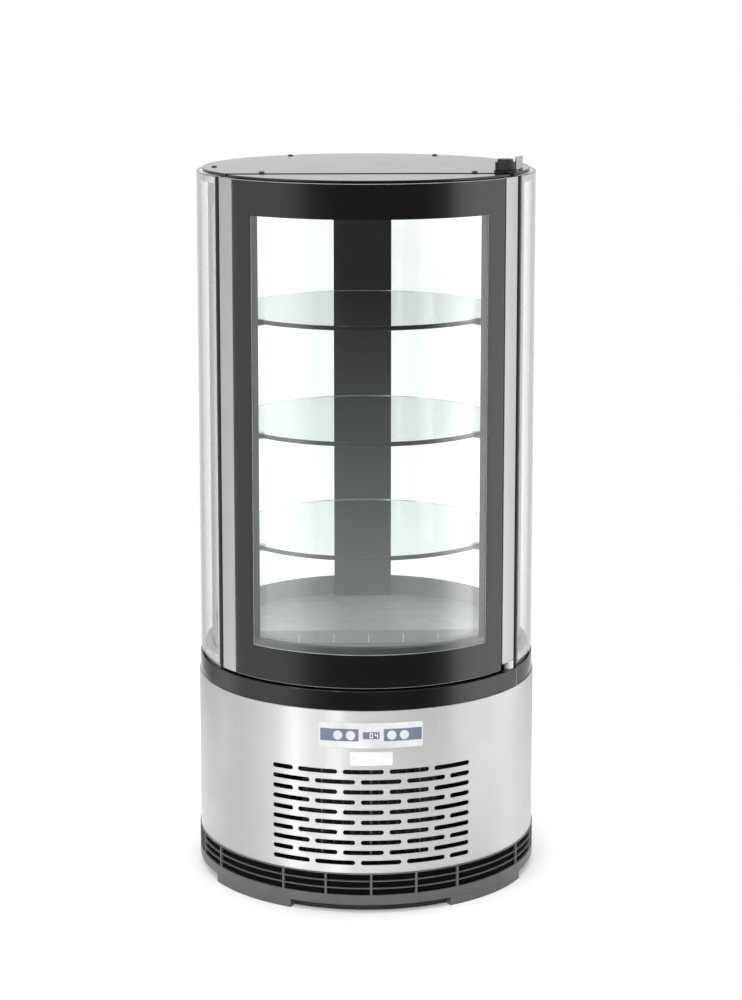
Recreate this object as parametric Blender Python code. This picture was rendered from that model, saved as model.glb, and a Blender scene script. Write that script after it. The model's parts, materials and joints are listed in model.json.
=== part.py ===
"""A round refrigerated display case with a curved glass door, modelled in metres.

The case stands on the plane z = 0 with its axis on the Z axis and its door towards -Y.
Angles are in degrees, counted from the front towards +X.
"""
import math

import bmesh
import bpy
from mathutils import Matrix, Vector

# Running gaps, cuts and facets
SEAT_GAP = 0.0003
OVERRUN = 0.004
LAP = 0.001
WELD_DISTANCE = 0.000002
FACET_ANGLE = 6.0
FULL_TURN = 360.0
SMOOTH_ANGLE = 35.0
ROUND_STEPS = round(FULL_TURN / FACET_ANGLE)
FLAT_REACH_SHARE = math.cos(math.radians(FACET_ANGLE / 2))
BARREL_STEPS = 24
PIN_STEPS = 16
CORNER_STEPS = 4
SLOT_END_STEPS = 4
ANGLE_TOLERANCE = 0.02

# Radii of the case, each stepped in from the base shell
BASE_RADIUS = 0.2310
PLINTH_LIP = 0.0015
RIM_STEP = 0.0020
GLASS_STEP = 0.0010
PANE_THICKNESS = 0.0045
SPACER_DEPTH = 0.0099
INNER_PANE_THICKNESS = 0.0040
PLINTH_RADIUS = BASE_RADIUS + PLINTH_LIP
RIM_RADIUS = BASE_RADIUS - RIM_STEP
GLASS_RADIUS = RIM_RADIUS - GLASS_STEP
PANE_BACK = GLASS_RADIUS - PANE_THICKNESS
SPACER_FRONT = PANE_BACK - SEAT_GAP
SPACER_BACK = SPACER_FRONT - SPACER_DEPTH
INNER_PANE_FRONT = SPACER_BACK - SEAT_GAP
INNER_PANE_BACK = INNER_PANE_FRONT - INNER_PANE_THICKNESS
CHAMBER_RADIUS = INNER_PANE_BACK - SEAT_GAP

# Heights of the case, from the floor up
FOOT_HEIGHT = 0.0113
PLINTH_HEIGHT = 0.0432
SHELL_HEIGHT = 0.2209
RIM_HEIGHT = 0.0260
DOOR_LIFT = 0.0034
DOOR_HEIGHT = 0.6577
TOP_PLATE_THICKNESS = 0.0042
PLINTH_TOP = FOOT_HEIGHT + PLINTH_HEIGHT
SHELL_BOTTOM = PLINTH_TOP + SEAT_GAP
SHELL_TOP = SHELL_BOTTOM + SHELL_HEIGHT
RIM_BOTTOM = SHELL_TOP + SEAT_GAP
RIM_TOP = RIM_BOTTOM + RIM_HEIGHT
ON_RIM = RIM_TOP + SEAT_GAP
DOOR_BOTTOM = RIM_TOP + DOOR_LIFT
DOOR_TOP = DOOR_BOTTOM + DOOR_HEIGHT
UNDER_TOP = DOOR_TOP - SEAT_GAP
PLATE_BOTTOM = DOOR_TOP + SEAT_GAP
PLATE_TOP = PLATE_BOTTOM + TOP_PLATE_THICKNESS

# The flat opening that the door closes, as distances in front of the axis
DOOR_BULGE = 0.1160
MULLION_REVEAL = 0.0086
MULLION_DEPTH = 0.0129
GASKET_THICKNESS = 0.0044
MULLION_EDGE = 0.0012
STILE_RETURN = 0.0018
STILE_WIDTH = 0.0292
PANE_JOINT = 0.0008
OPENING_FACE = GLASS_RADIUS - DOOR_BULGE
OPENING_HALF = math.sqrt(CHAMBER_RADIUS ** 2 - OPENING_FACE ** 2) - MULLION_REVEAL
DOOR_BACK = OPENING_FACE + GASKET_THICKNESS + 2 * SEAT_GAP
MULLION_BACK = OPENING_FACE - MULLION_DEPTH
CHAMBER_STEP = MULLION_BACK - SEAT_GAP
CORNER_ANGLE = math.degrees(math.acos(OPENING_FACE / GLASS_RADIUS))
MULLION_ANGLE = CORNER_ANGLE + math.degrees(MULLION_EDGE / GLASS_RADIUS)
SIDE_GLASS_ANGLE = MULLION_ANGLE + math.degrees(SEAT_GAP / INNER_PANE_BACK)
STILE_END_ANGLE = math.degrees(math.acos((DOOR_BACK + STILE_RETURN) / GLASS_RADIUS))
STILE_START_ANGLE = STILE_END_ANGLE - math.degrees(STILE_WIDTH / GLASS_RADIUS)
DOOR_PANE_ANGLE = STILE_START_ANGLE - math.degrees(PANE_JOINT / GLASS_RADIUS)

# Plinth and grille
PLINTH_WALL = 0.0035
PLINTH_LEDGE_WIDTH = 0.0340
PLINTH_LEDGE_THICKNESS = 0.0030
FOOT_HALF_ANGLE = 17.7
FOOT_INSET = 0.0005
FOOT_ANGLES = (45.0, 135.0, 225.0, 315.0)
GRILLE_BAND = 0.0134
GRILLE_BAR = 0.0018
GRILLE_DIVIDER = 0.0040
GRILLE_ROWS = 3
GRILLE_CELLS = ((0.0, 15.0), (15.0, 30.0), (30.0, 60.0), (60.0, 75.0), (75.0, 90.0))
QUADRANT_ANGLES = (0.0, 90.0, 180.0, 270.0)
PAN_THICKNESS = 0.0020
PAN_MARGIN = 0.0015
PAN_BOTTOM = FOOT_HEIGHT + PLINTH_LEDGE_THICKNESS + SEAT_GAP
PAN_TOP = PAN_BOTTOM + PAN_THICKNESS
ON_PAN = PAN_TOP + SEAT_GAP

# Base shell and its air slots
SHELL_WALL = 0.0012
SHELL_FLANGE = 0.0120
SLOT_HEIGHT = 0.0063
SLOT_LENGTH = 0.0534
SHORT_SLOT_LENGTH = 0.0298
SLOT_SPACE = 0.0074
SLOT_PITCH = 0.01381
SLOT_DROP = 0.0823
SLOT_MARGIN = 0.0135
FULL_SLOTS = 4
REAR_SLOTS = 3
GLAND_SPACE = 0.0300
REAR_ANGLE = 180.0
FRONT_ANGLE = 0.0
SIDE_ANGLE = 90.0

# Control fascia, buttons, badge and gland
FASCIA_DROP = 0.0323
FASCIA_WIDTH = 0.1360
FASCIA_HEIGHT = 0.0340
FASCIA_CORNER = 0.0030
FASCIA_THICKNESS = 0.0007
FASCIA_BODY_WIDTH = 0.1200
FASCIA_BODY_HEIGHT = 0.0258
FASCIA_BODY_DEPTH = 0.0050
FASCIA_FIT = 0.0006
BUTTON_RADIUS = 0.00625
BUTTON_DEPTH = 0.0060
BUTTON_PROUD = 0.0004
BUTTON_CHAMFER = 0.0004
BUTTON_OFFSETS = (-0.0437, -0.0270, 0.0270, 0.0437)
WINDOW_WIDTH = 0.0218
WINDOW_HEIGHT = 0.0095
WINDOW_DEPTH = 0.0036
BOARD_WIDTH = 0.0920
BOARD_HEIGHT = 0.0220
BOARD_THICKNESS = 0.0016
BOARD_SETBACK = 0.0106
BOARD_POST_RADIUS = 0.0025
BOARD_POST_OFFSET = 0.0155
BADGE_DROP = 0.06385
BADGE_WIDTH = 0.0564
BADGE_HEIGHT = 0.0187
BADGE_CORNER = 0.0025
BADGE_THICKNESS = 0.0006
GLAND_RISE = 0.0359
GLAND_HOLE_RADIUS = 0.0080
GLAND_BORE_RADIUS = 0.0036
GLAND_FLANGE_RADIUS = 0.0105
GLAND_FLANGE_THICKNESS = 0.0009
GLAND_DEPTH = 0.0050

# Base rim, insulated tub, liner and deck
RIM_WALL = 0.0040
RIM_PLATE = 0.0030
RIM_SHELF = 0.0080
LUG_PROUD = 0.0025
LUG_RAMP_ANGLE = 3.5
LUG_BEFORE_ANGLE = 10.2
LUG_AFTER_ANGLE = 3.2
LUG_ROUND_ANGLE = 1.2
TUB_DROP = 0.0397
TUB_FLOOR = 0.0220
TUB_BODY_GAP = 0.0005
TUB_WALL = 0.0185
TUB_PORT_RADIUS = 0.0080
LINER_HEIGHT = 0.0510
LINER_WALL = 0.0050
LEDGE_WIDTH = 0.0080
LEDGE_THICKNESS = 0.0027
DECK_RISE = 0.0250
DECK_THICKNESS = 0.0030
CHAMBER_STEPS = 48
TUB_RADIUS = BASE_RADIUS - SHELL_WALL - SHELL_FLANGE - TUB_BODY_GAP
WELL_RADIUS = TUB_RADIUS - TUB_WALL
TUB_BOTTOM = SHELL_TOP - TUB_DROP
WELL_FLOOR = TUB_BOTTOM + TUB_FLOOR
DECK_TOP = RIM_TOP + DECK_RISE
LINER_TOP = ON_RIM + LINER_HEIGHT

# Roof, light bar, top plate and its screws
ROOF_DEPTH = 0.0418
LIGHT_WIDTH = 0.2600
LIGHT_DEPTH = 0.0120
LIGHT_HEIGHT = 0.0085
LIGHT_SETBACK = 0.0200
TOP_PLATE_SETBACK = 0.0080
TOP_PLATE_NOSE = 0.0002
SCREW_HEAD_RADIUS = 0.0040
SCREW_HEAD_HEIGHT = 0.0012
SCREW_DOME_SHARE = 0.72
SCREW_SHANK_RADIUS = 0.0020
SCREW_HOLE_RADIUS = 0.0024
SCREW_SHANK_LENGTH = 0.0038
SCREW_FRONT_INSET = 0.0125
SCREW_CORNER_INSET = 0.0472
SCREW_RIM_ANGLES = (86.6, 150.5)
SCREW_RIM_INSETS = (0.0160, 0.0130)
ROOF_BOTTOM = UNDER_TOP - ROOF_DEPTH
UNDER_ROOF = ROOF_BOTTOM - SEAT_GAP

# Side glass and rear post
SIDE_GLASS_LIFT = 0.0050
SIDE_SPACER_BAR = 0.0095
SIDE_SPACER_FOOT = 0.0160
REAR_POST_HALF_ANGLE = 8.0

# Shelves, their rails and the rear column
SHELF_MARGIN = 0.0267
SHELF_THICKNESS = 0.0060
LOWEST_SHELF_RISE = 0.1450
SHELF_PITCH = 0.1520
SHELF_NAMES = ("lower", "middle", "upper")
RAIL_WIDTH = 0.0080
RAIL_DEPTH = 0.0040
ARM_REACH = 0.0180
ARM_TIP = 0.0030
ARM_ROOT = 0.0090
COLUMN_STANDOFF = 0.0040
COLUMN_HALF_WIDTH = 0.0415
COLUMN_DEPTH = 0.0130
COLUMN_WALL = 0.0020
REAR_ARM_HALF_WIDTH = 0.0060
SHELF_RADIUS = CHAMBER_RADIUS - SHELF_MARGIN
COLUMN_FRONT = SHELF_RADIUS + COLUMN_STANDOFF

# Door
INNER_PANE_MARGIN = 0.0210
INNER_PANE_RISE = 0.0285
INNER_PANE_DROP = 0.0351
DOOR_SPACER_SIDE = 0.0139
DOOR_SPACER_FOOT = 0.0246
DOOR_SPACER_HEAD = 0.0090
FRAME_EDGE = 0.0223
FRAME_FOOT = 0.0320
FRAME_HEAD = 0.0393
FRAME_POST = 0.0120
FRAME_POST_DEPTH = 0.0080
FRAME_POCKET_FIT = 0.0004
CAP_THICKNESS = 0.0034
CAP_SETBACK = 0.0010
CAP_NOSE = 0.0085
GASKET_WIDTH = 0.0140
GASKET_LAP = 0.0117
GASKET_RISE = 0.0175
GASKET_DROP = 0.0171
FRAME_HALF = GLASS_RADIUS * math.sin(math.radians(STILE_END_ANGLE)) - FRAME_EDGE

# Hinge
HINGE_SIDE_INSET = 0.0066
HINGE_BACK_INSET = 0.0040
HINGE_PIN_RADIUS = 0.0020
HINGE_BORE_RADIUS = 0.0024
HINGE_PIN_LENGTH = 0.0140
HINGE_COLLAR_RADIUS = 0.0065
HINGE_COLLAR_HEIGHT = 0.0104
HINGE_PLATE_THICKNESS = 0.0020
HINGE_ARM_RADIUS = 0.0085
KNOB_INSET = 0.0185
KNOB_OFFSET = 0.0140
KNOB_RADIUS = 0.0135
KNOB_HEIGHT = 0.0100
KNOB_TOP_RADIUS = 0.0105
KNOB_TOP_HEIGHT = 0.0040
KNOB_SEAT_MARGIN = 0.0015
TAB_FOOT_OFFSET = 0.0085
TAB_OFFSET = 0.0278
TAB_WIDTH = 0.0275
TAB_MARGIN_ANGLE = 0.5
TAB_HEIGHT = 0.0181
TAB_THICKNESS = 0.0023
TAB_INSET = 0.0003
TAB_SETBACK = 0.0040
TAB_FOOT_WIDTH = 0.0160
HINGE_X = GLASS_RADIUS * math.sin(math.radians(STILE_END_ANGLE)) - HINGE_SIDE_INSET
HINGE_Y = -(DOOR_BACK + HINGE_BACK_INSET)
HINGE_ANGLE = math.degrees(math.atan2(HINGE_X, -HINGE_Y))
KNOB_REACH = math.hypot(HINGE_X, HINGE_Y) - KNOB_INSET
KNOB_ANGLE = HINGE_ANGLE + math.degrees(KNOB_OFFSET / KNOB_REACH)
TAB_OUTER = GLASS_RADIUS - TOP_PLATE_SETBACK - TAB_SETBACK
TAB_FOOT_ANGLE = HINGE_ANGLE + math.degrees(TAB_FOOT_OFFSET / TAB_OUTER)
TAB_START_ANGLE = HINGE_ANGLE + math.degrees(TAB_OFFSET / TAB_OUTER)
TAB_END_ANGLE = TAB_START_ANGLE + math.degrees(TAB_WIDTH / TAB_OUTER)
ON_PLATE = PLATE_TOP + SEAT_GAP

# Refrigeration set
COMPRESSOR_RADIUS = 0.0620
COMPRESSOR_HEIGHT = 0.1200
COMPRESSOR_X = 0.0350
COMPRESSOR_Y = 0.0750
COMPRESSOR_PROFILE_SHARES = (
    (0.00, 0.00), (0.74, 0.00), (0.95, 0.09), (1.00, 0.22), (1.00, 0.44), (1.04, 0.45),
    (1.04, 0.49), (1.00, 0.50), (1.00, 0.76), (0.86, 0.91), (0.55, 1.00), (0.00, 1.00),
)
COMPRESSOR_BASE_LENGTH = 0.1400
COMPRESSOR_BASE_WIDTH = 0.1000
COMPRESSOR_BASE_THICKNESS = 0.0030
GROMMET_RADIUS = 0.0090
GROMMET_HEIGHT = 0.0070
CONDENSER_WIDTH = 0.1800
CONDENSER_DEPTH = 0.0300
CONDENSER_HEADROOM = 0.0460
CONDENSER_SETBACK = 0.0698
FIN_PITCH = 0.0120
FIN_THICKNESS = 0.0020
FIN_WEB = 0.0040
CONDENSER_FAN_MARGIN = 0.0105
CONDENSER_FAN_COLLAR = 0.0200
CONDENSER_MOTOR_LENGTH = 0.0420
CONDENSER_MOTOR_RADIUS = 0.0230
EVAPORATOR_WIDTH = 0.1800
EVAPORATOR_DEPTH = 0.1100
EVAPORATOR_HEIGHT = 0.0540
EVAPORATOR_FAN_GAP = 0.0240
EVAPORATOR_FAN_SIDE = 0.0920
EVAPORATOR_FAN_BORE = 0.0420
EVAPORATOR_FAN_COLLAR = 0.0170
EVAPORATOR_MOTOR_LENGTH = 0.0080
EVAPORATOR_MOTOR_RADIUS = 0.0160
EVAPORATOR_FAN_SETBACK = 0.0800
FAN_PLATE = 0.0020
FAN_COLLAR_WALL = 0.0020
FAN_STRUT_WIDTH = 0.0070
FAN_STRUT_THICKNESS = 0.0025
FAN_STRUTS = 3
FAN_BLADES = 5
FAN_HUB_SHARE = 0.26
FAN_TIP_GAP = 0.0030
FAN_END_GAP = 0.0030
FAN_PIN_RADIUS = 0.0020
FAN_BORE_GAP = 0.0004
BLADE_THICKNESS = 0.0014
BLADE_ROOT_SPAN_SHARE = 0.16
BLADE_TIP_SPAN_SHARE = 0.36
PIPE_RADIUS = 0.0030
PIPE_STEPS = 5
PIPE_RISE = 0.0300
PIPE_HEADROOM = 0.0160
PIPE_STUB_OFFSET = 0.0160
PIPE_SIDE = 0.0200
CONDENSER_BACK = BASE_RADIUS - SHELL_WALL - CONDENSER_SETBACK
CONDENSER_HEIGHT = TUB_BOTTOM - CONDENSER_HEADROOM - ON_PAN
CONDENSER_FAN_BORE = min(CONDENSER_WIDTH, CONDENSER_HEIGHT) / 2 - CONDENSER_FAN_MARGIN
EVAPORATOR_FAN_Y = WELL_RADIUS - EVAPORATOR_FAN_SETBACK
EVAPORATOR_REAR = EVAPORATOR_FAN_Y - EVAPORATOR_FAN_SIDE / 2 - EVAPORATOR_FAN_GAP

FINISHES = {
    "stainless": ((0.62, 0.62, 0.63), 0.28, 1.0),
    "aluminium": ((0.72, 0.72, 0.72), 0.32, 1.0),
    "black_gloss": ((0.015, 0.015, 0.016), 0.12, 0.0),
    "black_plastic": ((0.030, 0.030, 0.032), 0.45, 0.0),
    "grey_plastic": ((0.085, 0.087, 0.090), 0.50, 0.0),
    "white_plastic": ((0.80, 0.81, 0.81), 0.35, 0.0),
    "deck_grey": ((0.50, 0.53, 0.53), 0.40, 0.0),
    "foam": ((0.75, 0.73, 0.66), 0.80, 0.0),
    "glass": ((0.80, 0.90, 0.88), 0.03, 0.0),
    "rubber": ((0.020, 0.020, 0.020), 0.70, 0.0),
    "copper": ((0.72, 0.34, 0.20), 0.30, 1.0),
    "galvanised": ((0.50, 0.51, 0.52), 0.45, 1.0),
    "black_enamel": ((0.020, 0.020, 0.022), 0.35, 0.0),
    "board_green": ((0.03, 0.18, 0.08), 0.50, 0.0),
    "display_tint": ((0.07, 0.06, 0.12), 0.15, 0.0),
    "light_diffuser": ((0.90, 0.90, 0.88), 0.40, 0.0),
}
MATERIALS = {}


# Scene and object helpers
def clear_scene():
    for item in list(bpy.data.objects):
        bpy.data.objects.remove(item, do_unlink=True)


def mix_finishes():
    for name, (colour, roughness, metallic) in FINISHES.items():
        material = bpy.data.materials.new(name)
        material.use_nodes = True
        shader = material.node_tree.nodes["Principled BSDF"]
        shader.inputs["Base Color"].default_value = (*colour, 1.0)
        shader.inputs["Roughness"].default_value = roughness
        shader.inputs["Metallic"].default_value = metallic
        if name == "glass":
            shader.inputs["Transmission Weight"].default_value = 1.0
        MATERIALS[name] = material


def make(name, shape, finish, pivot=None):
    """Turn a bmesh into an object; a pivot empty gives a moving piece its origin."""
    bmesh.ops.recalc_face_normals(shape, faces=shape.faces[:])
    if pivot:
        bmesh.ops.translate(shape, verts=shape.verts[:], vec=-pivot.location)
    mesh = bpy.data.meshes.new(name)
    shape.to_mesh(mesh)
    shape.free()
    mesh.materials.append(MATERIALS[finish])
    mesh.shade_smooth()
    mesh.set_sharp_from_angle(angle=math.radians(SMOOTH_ANGLE))
    made = bpy.data.objects.new(name, mesh)
    bpy.context.scene.collection.objects.link(made)
    made.parent = pivot
    return made


def add_pivot(name, location):
    pivot = bpy.data.objects.new(name, None)
    pivot.location = location
    bpy.context.scene.collection.objects.link(pivot)
    return pivot


def change(target, operation, shape):
    """Cut, join or intersect the target with a hidden shape."""
    tool = make(f"{target.name}_{operation.lower()}_{len(target.modifiers)}", shape, "grey_plastic")
    tool.hide_render = True
    tool.display_type = "WIRE"
    boolean = target.modifiers.new(tool.name, "BOOLEAN")
    boolean.operation = operation
    boolean.object = tool
    boolean.solver = "EXACT"


# Outlines
def on_facets(radius, angle):
    """A point at this angle on the faceted circle of this radius."""
    middle = (math.floor(angle / FACET_ANGLE) + 0.5) * FACET_ANGLE
    apothem = radius * math.cos(math.radians(FACET_ANGLE / 2))
    reach = apothem / math.cos(math.radians(angle - middle))
    return (reach * math.sin(math.radians(angle)), -reach * math.cos(math.radians(angle)))


def polar(radius, angle):
    return (radius * math.sin(math.radians(angle)), -radius * math.cos(math.radians(angle)))


def arc(radius, start, end):
    """Points of the faceted circle from start to end, with both ends."""
    first = math.floor((start + ANGLE_TOLERANCE) / FACET_ANGLE) + 1
    last = math.ceil((end - ANGLE_TOLERANCE) / FACET_ANGLE) - 1
    angles = [start] + [step * FACET_ANGLE for step in range(first, last + 1)] + [end]
    return [on_facets(radius, angle) for angle in angles]


def even_arc(radius, start, end, steps):
    return [polar(radius, start + (end - start) * step / steps) for step in range(steps + 1)]


def sector(inner, outer, start, end):
    return arc(outer, start, end) + arc(inner, start, end)[::-1]


def segment(radius, chord):
    """The part of the disc in front of a straight chord."""
    half = math.degrees(math.acos(chord / radius))
    return arc(radius, -half, half)


def slab(x_low, x_high, y_low, y_high):
    return [(x_low, y_low), (x_high, y_low), (x_high, y_high), (x_low, y_high)]


def rounded_slab(width, height, corner, centre_x, centre_y):
    points = []
    for index, (side_x, side_y) in enumerate(((1, -1), (1, 1), (-1, 1), (-1, -1))):
        middle_x = centre_x + side_x * (width / 2 - corner)
        middle_y = centre_y + side_y * (height / 2 - corner)
        for step in range(CORNER_STEPS + 1):
            turn = math.pi / 2 * (index - 1 + step / CORNER_STEPS)
            points.append((middle_x + corner * math.cos(turn), middle_y + corner * math.sin(turn)))
    return points


def circle(radius, steps, centre_x=0.0, centre_y=0.0):
    turns = [2 * math.pi * step / steps for step in range(steps)]
    return [(centre_x + radius * math.cos(turn), centre_y + radius * math.sin(turn)) for turn in turns]


def hull(points):
    """The convex outline round a set of points."""
    chains = []
    for ordered in (sorted(points), sorted(points, reverse=True)):
        chain = []
        for x, y in ordered:
            while len(chain) > 1:
                (ax, ay), (bx, by) = chain[-2:]
                if (bx - ax) * (y - by) - (by - ay) * (x - bx) > 0:
                    break
                chain.pop()
            chain.append((x, y))
        chains += chain[:-1]
    return chains


def mirrored(outline):
    return [(-x, y) for x, y in outline[::-1]]


def chamber_outline(inset):
    """Outline of the cold chamber: round behind the mullions, flat at the door."""
    radius = CHAMBER_RADIUS - inset
    face = OPENING_FACE - inset
    side = OPENING_HALF - inset
    step = CHAMBER_STEP - inset
    corner = math.degrees(math.acos(step / radius))
    wall = even_arc(radius, corner, FULL_TURN - corner, CHAMBER_STEPS)
    return [(-side, -step), (-side, -face), (side, -face), (side, -step)] + wall


# Solids
def add_prism(shape, outline, low, high, place=None):
    base = [shape.verts.new((x, y, low)) for x, y in outline]
    cap = shape.faces.new(base)
    raised = bmesh.ops.extrude_face_region(shape, geom=[cap])["geom"]
    top = [item for item in raised if isinstance(item, bmesh.types.BMVert)]
    bmesh.ops.translate(shape, verts=top, vec=(0, 0, high - low))
    if place:
        bmesh.ops.transform(shape, matrix=place, verts=base + top)


def add_turned(shape, profile, steps, place=None):
    """Spin a profile of (radius, height) pairs; it closes on itself where it misses the axis."""
    before = set(shape.verts)
    line = [shape.verts.new((radius, 0, height)) for radius, height in profile]
    on_axis = any(radius == 0 for radius, height in profile)
    ends = line[1:] if on_axis else line[1:] + line[:1]
    edges = [shape.edges.new(pair) for pair in zip(line, ends)]
    bmesh.ops.spin(shape, geom=line + edges, axis=(0, 0, 1), angle=2 * math.pi, steps=steps)
    spun = [vert for vert in shape.verts if vert not in before]
    bmesh.ops.remove_doubles(shape, verts=spun, dist=WELD_DISTANCE)
    if place:
        spun = [vert for vert in shape.verts if vert not in before]
        bmesh.ops.transform(shape, matrix=place, verts=spun)


def add_loops(shape, loops, closed):
    """Skin a list of loops of equal length; closed joins the last to the first, else both are capped."""
    rings = [[shape.verts.new(point) for point in loop] for loop in loops]
    pairs = list(zip(rings, rings[1:]))
    if closed:
        pairs.append((rings[-1], rings[0]))
    else:
        shape.faces.new(rings[0])
        shape.faces.new(rings[-1])
    for lower, upper in pairs:
        for index in range(len(lower)):
            after = (index + 1) % len(lower)
            shape.faces.new((lower[index], lower[after], upper[after], upper[index]))


def prism(outline, low, high, place=None):
    shape = bmesh.new()
    add_prism(shape, outline, low, high, place)
    return shape


def turned(profile, steps, place=None):
    shape = bmesh.new()
    add_turned(shape, profile, steps, place)
    return shape


def outward(angle, height=0.0):
    """Local x runs round the case, y runs up and z runs outward from the axis."""
    turn = math.radians(angle)
    columns = Matrix((
        (math.cos(turn), 0, math.sin(turn), 0),
        (math.sin(turn), 0, -math.cos(turn), 0),
        (0, 1, 0, height),
        (0, 0, 0, 1),
    ))
    return columns


def at(x, y, z=0.0):
    return Matrix.Translation((x, y, z))


# Base
def build_plinth():
    inner = PLINTH_RADIUS - PLINTH_WALL
    ledge_top = FOOT_HEIGHT + PLINTH_LEDGE_THICKNESS
    ledge_inner = PLINTH_RADIUS - PLINTH_LEDGE_WIDTH
    profile = [
        (PLINTH_RADIUS, FOOT_HEIGHT), (PLINTH_RADIUS, PLINTH_TOP), (inner, PLINTH_TOP),
        (inner, ledge_top), (ledge_inner, ledge_top), (ledge_inner, FOOT_HEIGHT),
    ]
    plinth = make("plinth", turned(profile, ROUND_STEPS), "grey_plastic")
    feet = bmesh.new()
    for angle in FOOT_ANGLES:
        outline = sector(ledge_inner + FOOT_INSET, PLINTH_RADIUS - FOOT_INSET,
                         angle - FOOT_HALF_ANGLE, angle + FOOT_HALF_ANGLE)
        add_prism(feet, outline, 0, FOOT_HEIGHT + LAP)
    change(plinth, "UNION", feet)
    grille_bottom = FOOT_HEIGHT + GRILLE_BAND
    slot = (PLINTH_TOP - grille_bottom) / GRILLE_ROWS - GRILLE_BAR
    edge = math.degrees(GRILLE_DIVIDER / 2 / PLINTH_RADIUS)
    slots = bmesh.new()
    for quadrant in QUADRANT_ANGLES:
        for start, end in GRILLE_CELLS:
            outline = sector(inner - OVERRUN, PLINTH_RADIUS + OVERRUN,
                             quadrant + start + edge, quadrant + end - edge)
            for row in range(GRILLE_ROWS):
                low = grille_bottom + row * (slot + GRILLE_BAR)
                add_prism(slots, outline, low, low + slot)
    change(plinth, "DIFFERENCE", slots)


def build_chassis_pan():
    radius = PLINTH_RADIUS - PLINTH_WALL - PAN_MARGIN
    make("chassis_pan", prism(arc(radius, 0, FULL_TURN)[:-1], PAN_BOTTOM, PAN_TOP), "galvanised")


def slot_outline(length):
    radius = SLOT_HEIGHT / 2
    points = []
    for side in (1, -1):
        for step in range(SLOT_END_STEPS + 1):
            turn = math.pi * (step / SLOT_END_STEPS - 1 / 2)
            reach = length / 2 - radius + radius * math.cos(turn)
            points.append((side * reach, side * radius * math.sin(turn)))
    return points


def add_slot_row(shape, lengths, centre_angle, height):
    """A row of slots side by side, centred on an angle."""
    total = sum(lengths) + SLOT_SPACE * (len(lengths) - 1)
    reach = -total / 2
    for length in lengths:
        angle = centre_angle + math.degrees((reach + length / 2) / BASE_RADIUS)
        add_prism(shape, slot_outline(length), BASE_RADIUS - SHELL_WALL - OVERRUN,
                  BASE_RADIUS + OVERRUN, outward(angle, height))
        reach += length + SLOT_SPACE


def build_base_shell():
    inner = BASE_RADIUS - SHELL_WALL
    flange = inner - SHELL_FLANGE
    under_flange = SHELL_TOP - SHELL_WALL
    profile = [
        (BASE_RADIUS, SHELL_BOTTOM), (BASE_RADIUS, SHELL_TOP), (flange, SHELL_TOP),
        (flange, under_flange), (inner, under_flange), (inner, SHELL_BOTTOM),
    ]
    shell = make("base_shell", turned(profile, ROUND_STEPS), "stainless")
    openings = bmesh.new()
    rows = math.floor((SHELL_HEIGHT - SLOT_DROP - SLOT_MARGIN) / SLOT_PITCH) + 1
    for row in range(rows):
        full = [SLOT_LENGTH] * FULL_SLOTS
        lengths = full + [SHORT_SLOT_LENGTH] if row % 2 else [SHORT_SLOT_LENGTH] + full
        add_slot_row(openings, lengths, FRONT_ANGLE, SHELL_TOP - SLOT_DROP - row * SLOT_PITCH)
    gland_top = SHELL_BOTTOM + GLAND_RISE + GLAND_HOLE_RADIUS
    lowest_row = gland_top + GLAND_SPACE + SLOT_HEIGHT / 2
    rear_rows = math.floor((SHELL_TOP - SLOT_DROP - lowest_row) / SLOT_PITCH) + 1
    for row in range(rear_rows):
        height = SHELL_TOP - SLOT_DROP - row * SLOT_PITCH
        add_slot_row(openings, [SLOT_LENGTH] * REAR_SLOTS, REAR_ANGLE, height)
    half_width = FASCIA_BODY_WIDTH / 2 + FASCIA_FIT
    half_height = FASCIA_BODY_HEIGHT / 2 + FASCIA_FIT
    middle = SHELL_TOP - FASCIA_DROP
    fascia_hole = slab(-half_width, half_width, middle - half_height, middle + half_height)
    add_prism(openings, fascia_hole, CHAMBER_RADIUS, BASE_RADIUS + OVERRUN, outward(FRONT_ANGLE))
    gland_hole = circle(GLAND_HOLE_RADIUS, PIN_STEPS)
    add_prism(openings, gland_hole, inner - OVERRUN, BASE_RADIUS + OVERRUN,
              outward(REAR_ANGLE, SHELL_BOTTOM + GLAND_RISE))
    change(shell, "DIFFERENCE", openings)


def build_cable_gland():
    neck = GLAND_HOLE_RADIUS - SEAT_GAP
    seat = BASE_RADIUS + SEAT_GAP
    face = seat + GLAND_FLANGE_THICKNESS
    back = seat - GLAND_DEPTH
    profile = [
        (GLAND_BORE_RADIUS, back), (neck, back), (neck, seat),
        (GLAND_FLANGE_RADIUS, seat), (GLAND_FLANGE_RADIUS, face), (GLAND_BORE_RADIUS, face),
    ]
    make("cable_gland", turned(profile, PIN_STEPS, outward(REAR_ANGLE, SHELL_BOTTOM + GLAND_RISE)), "rubber")


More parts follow.
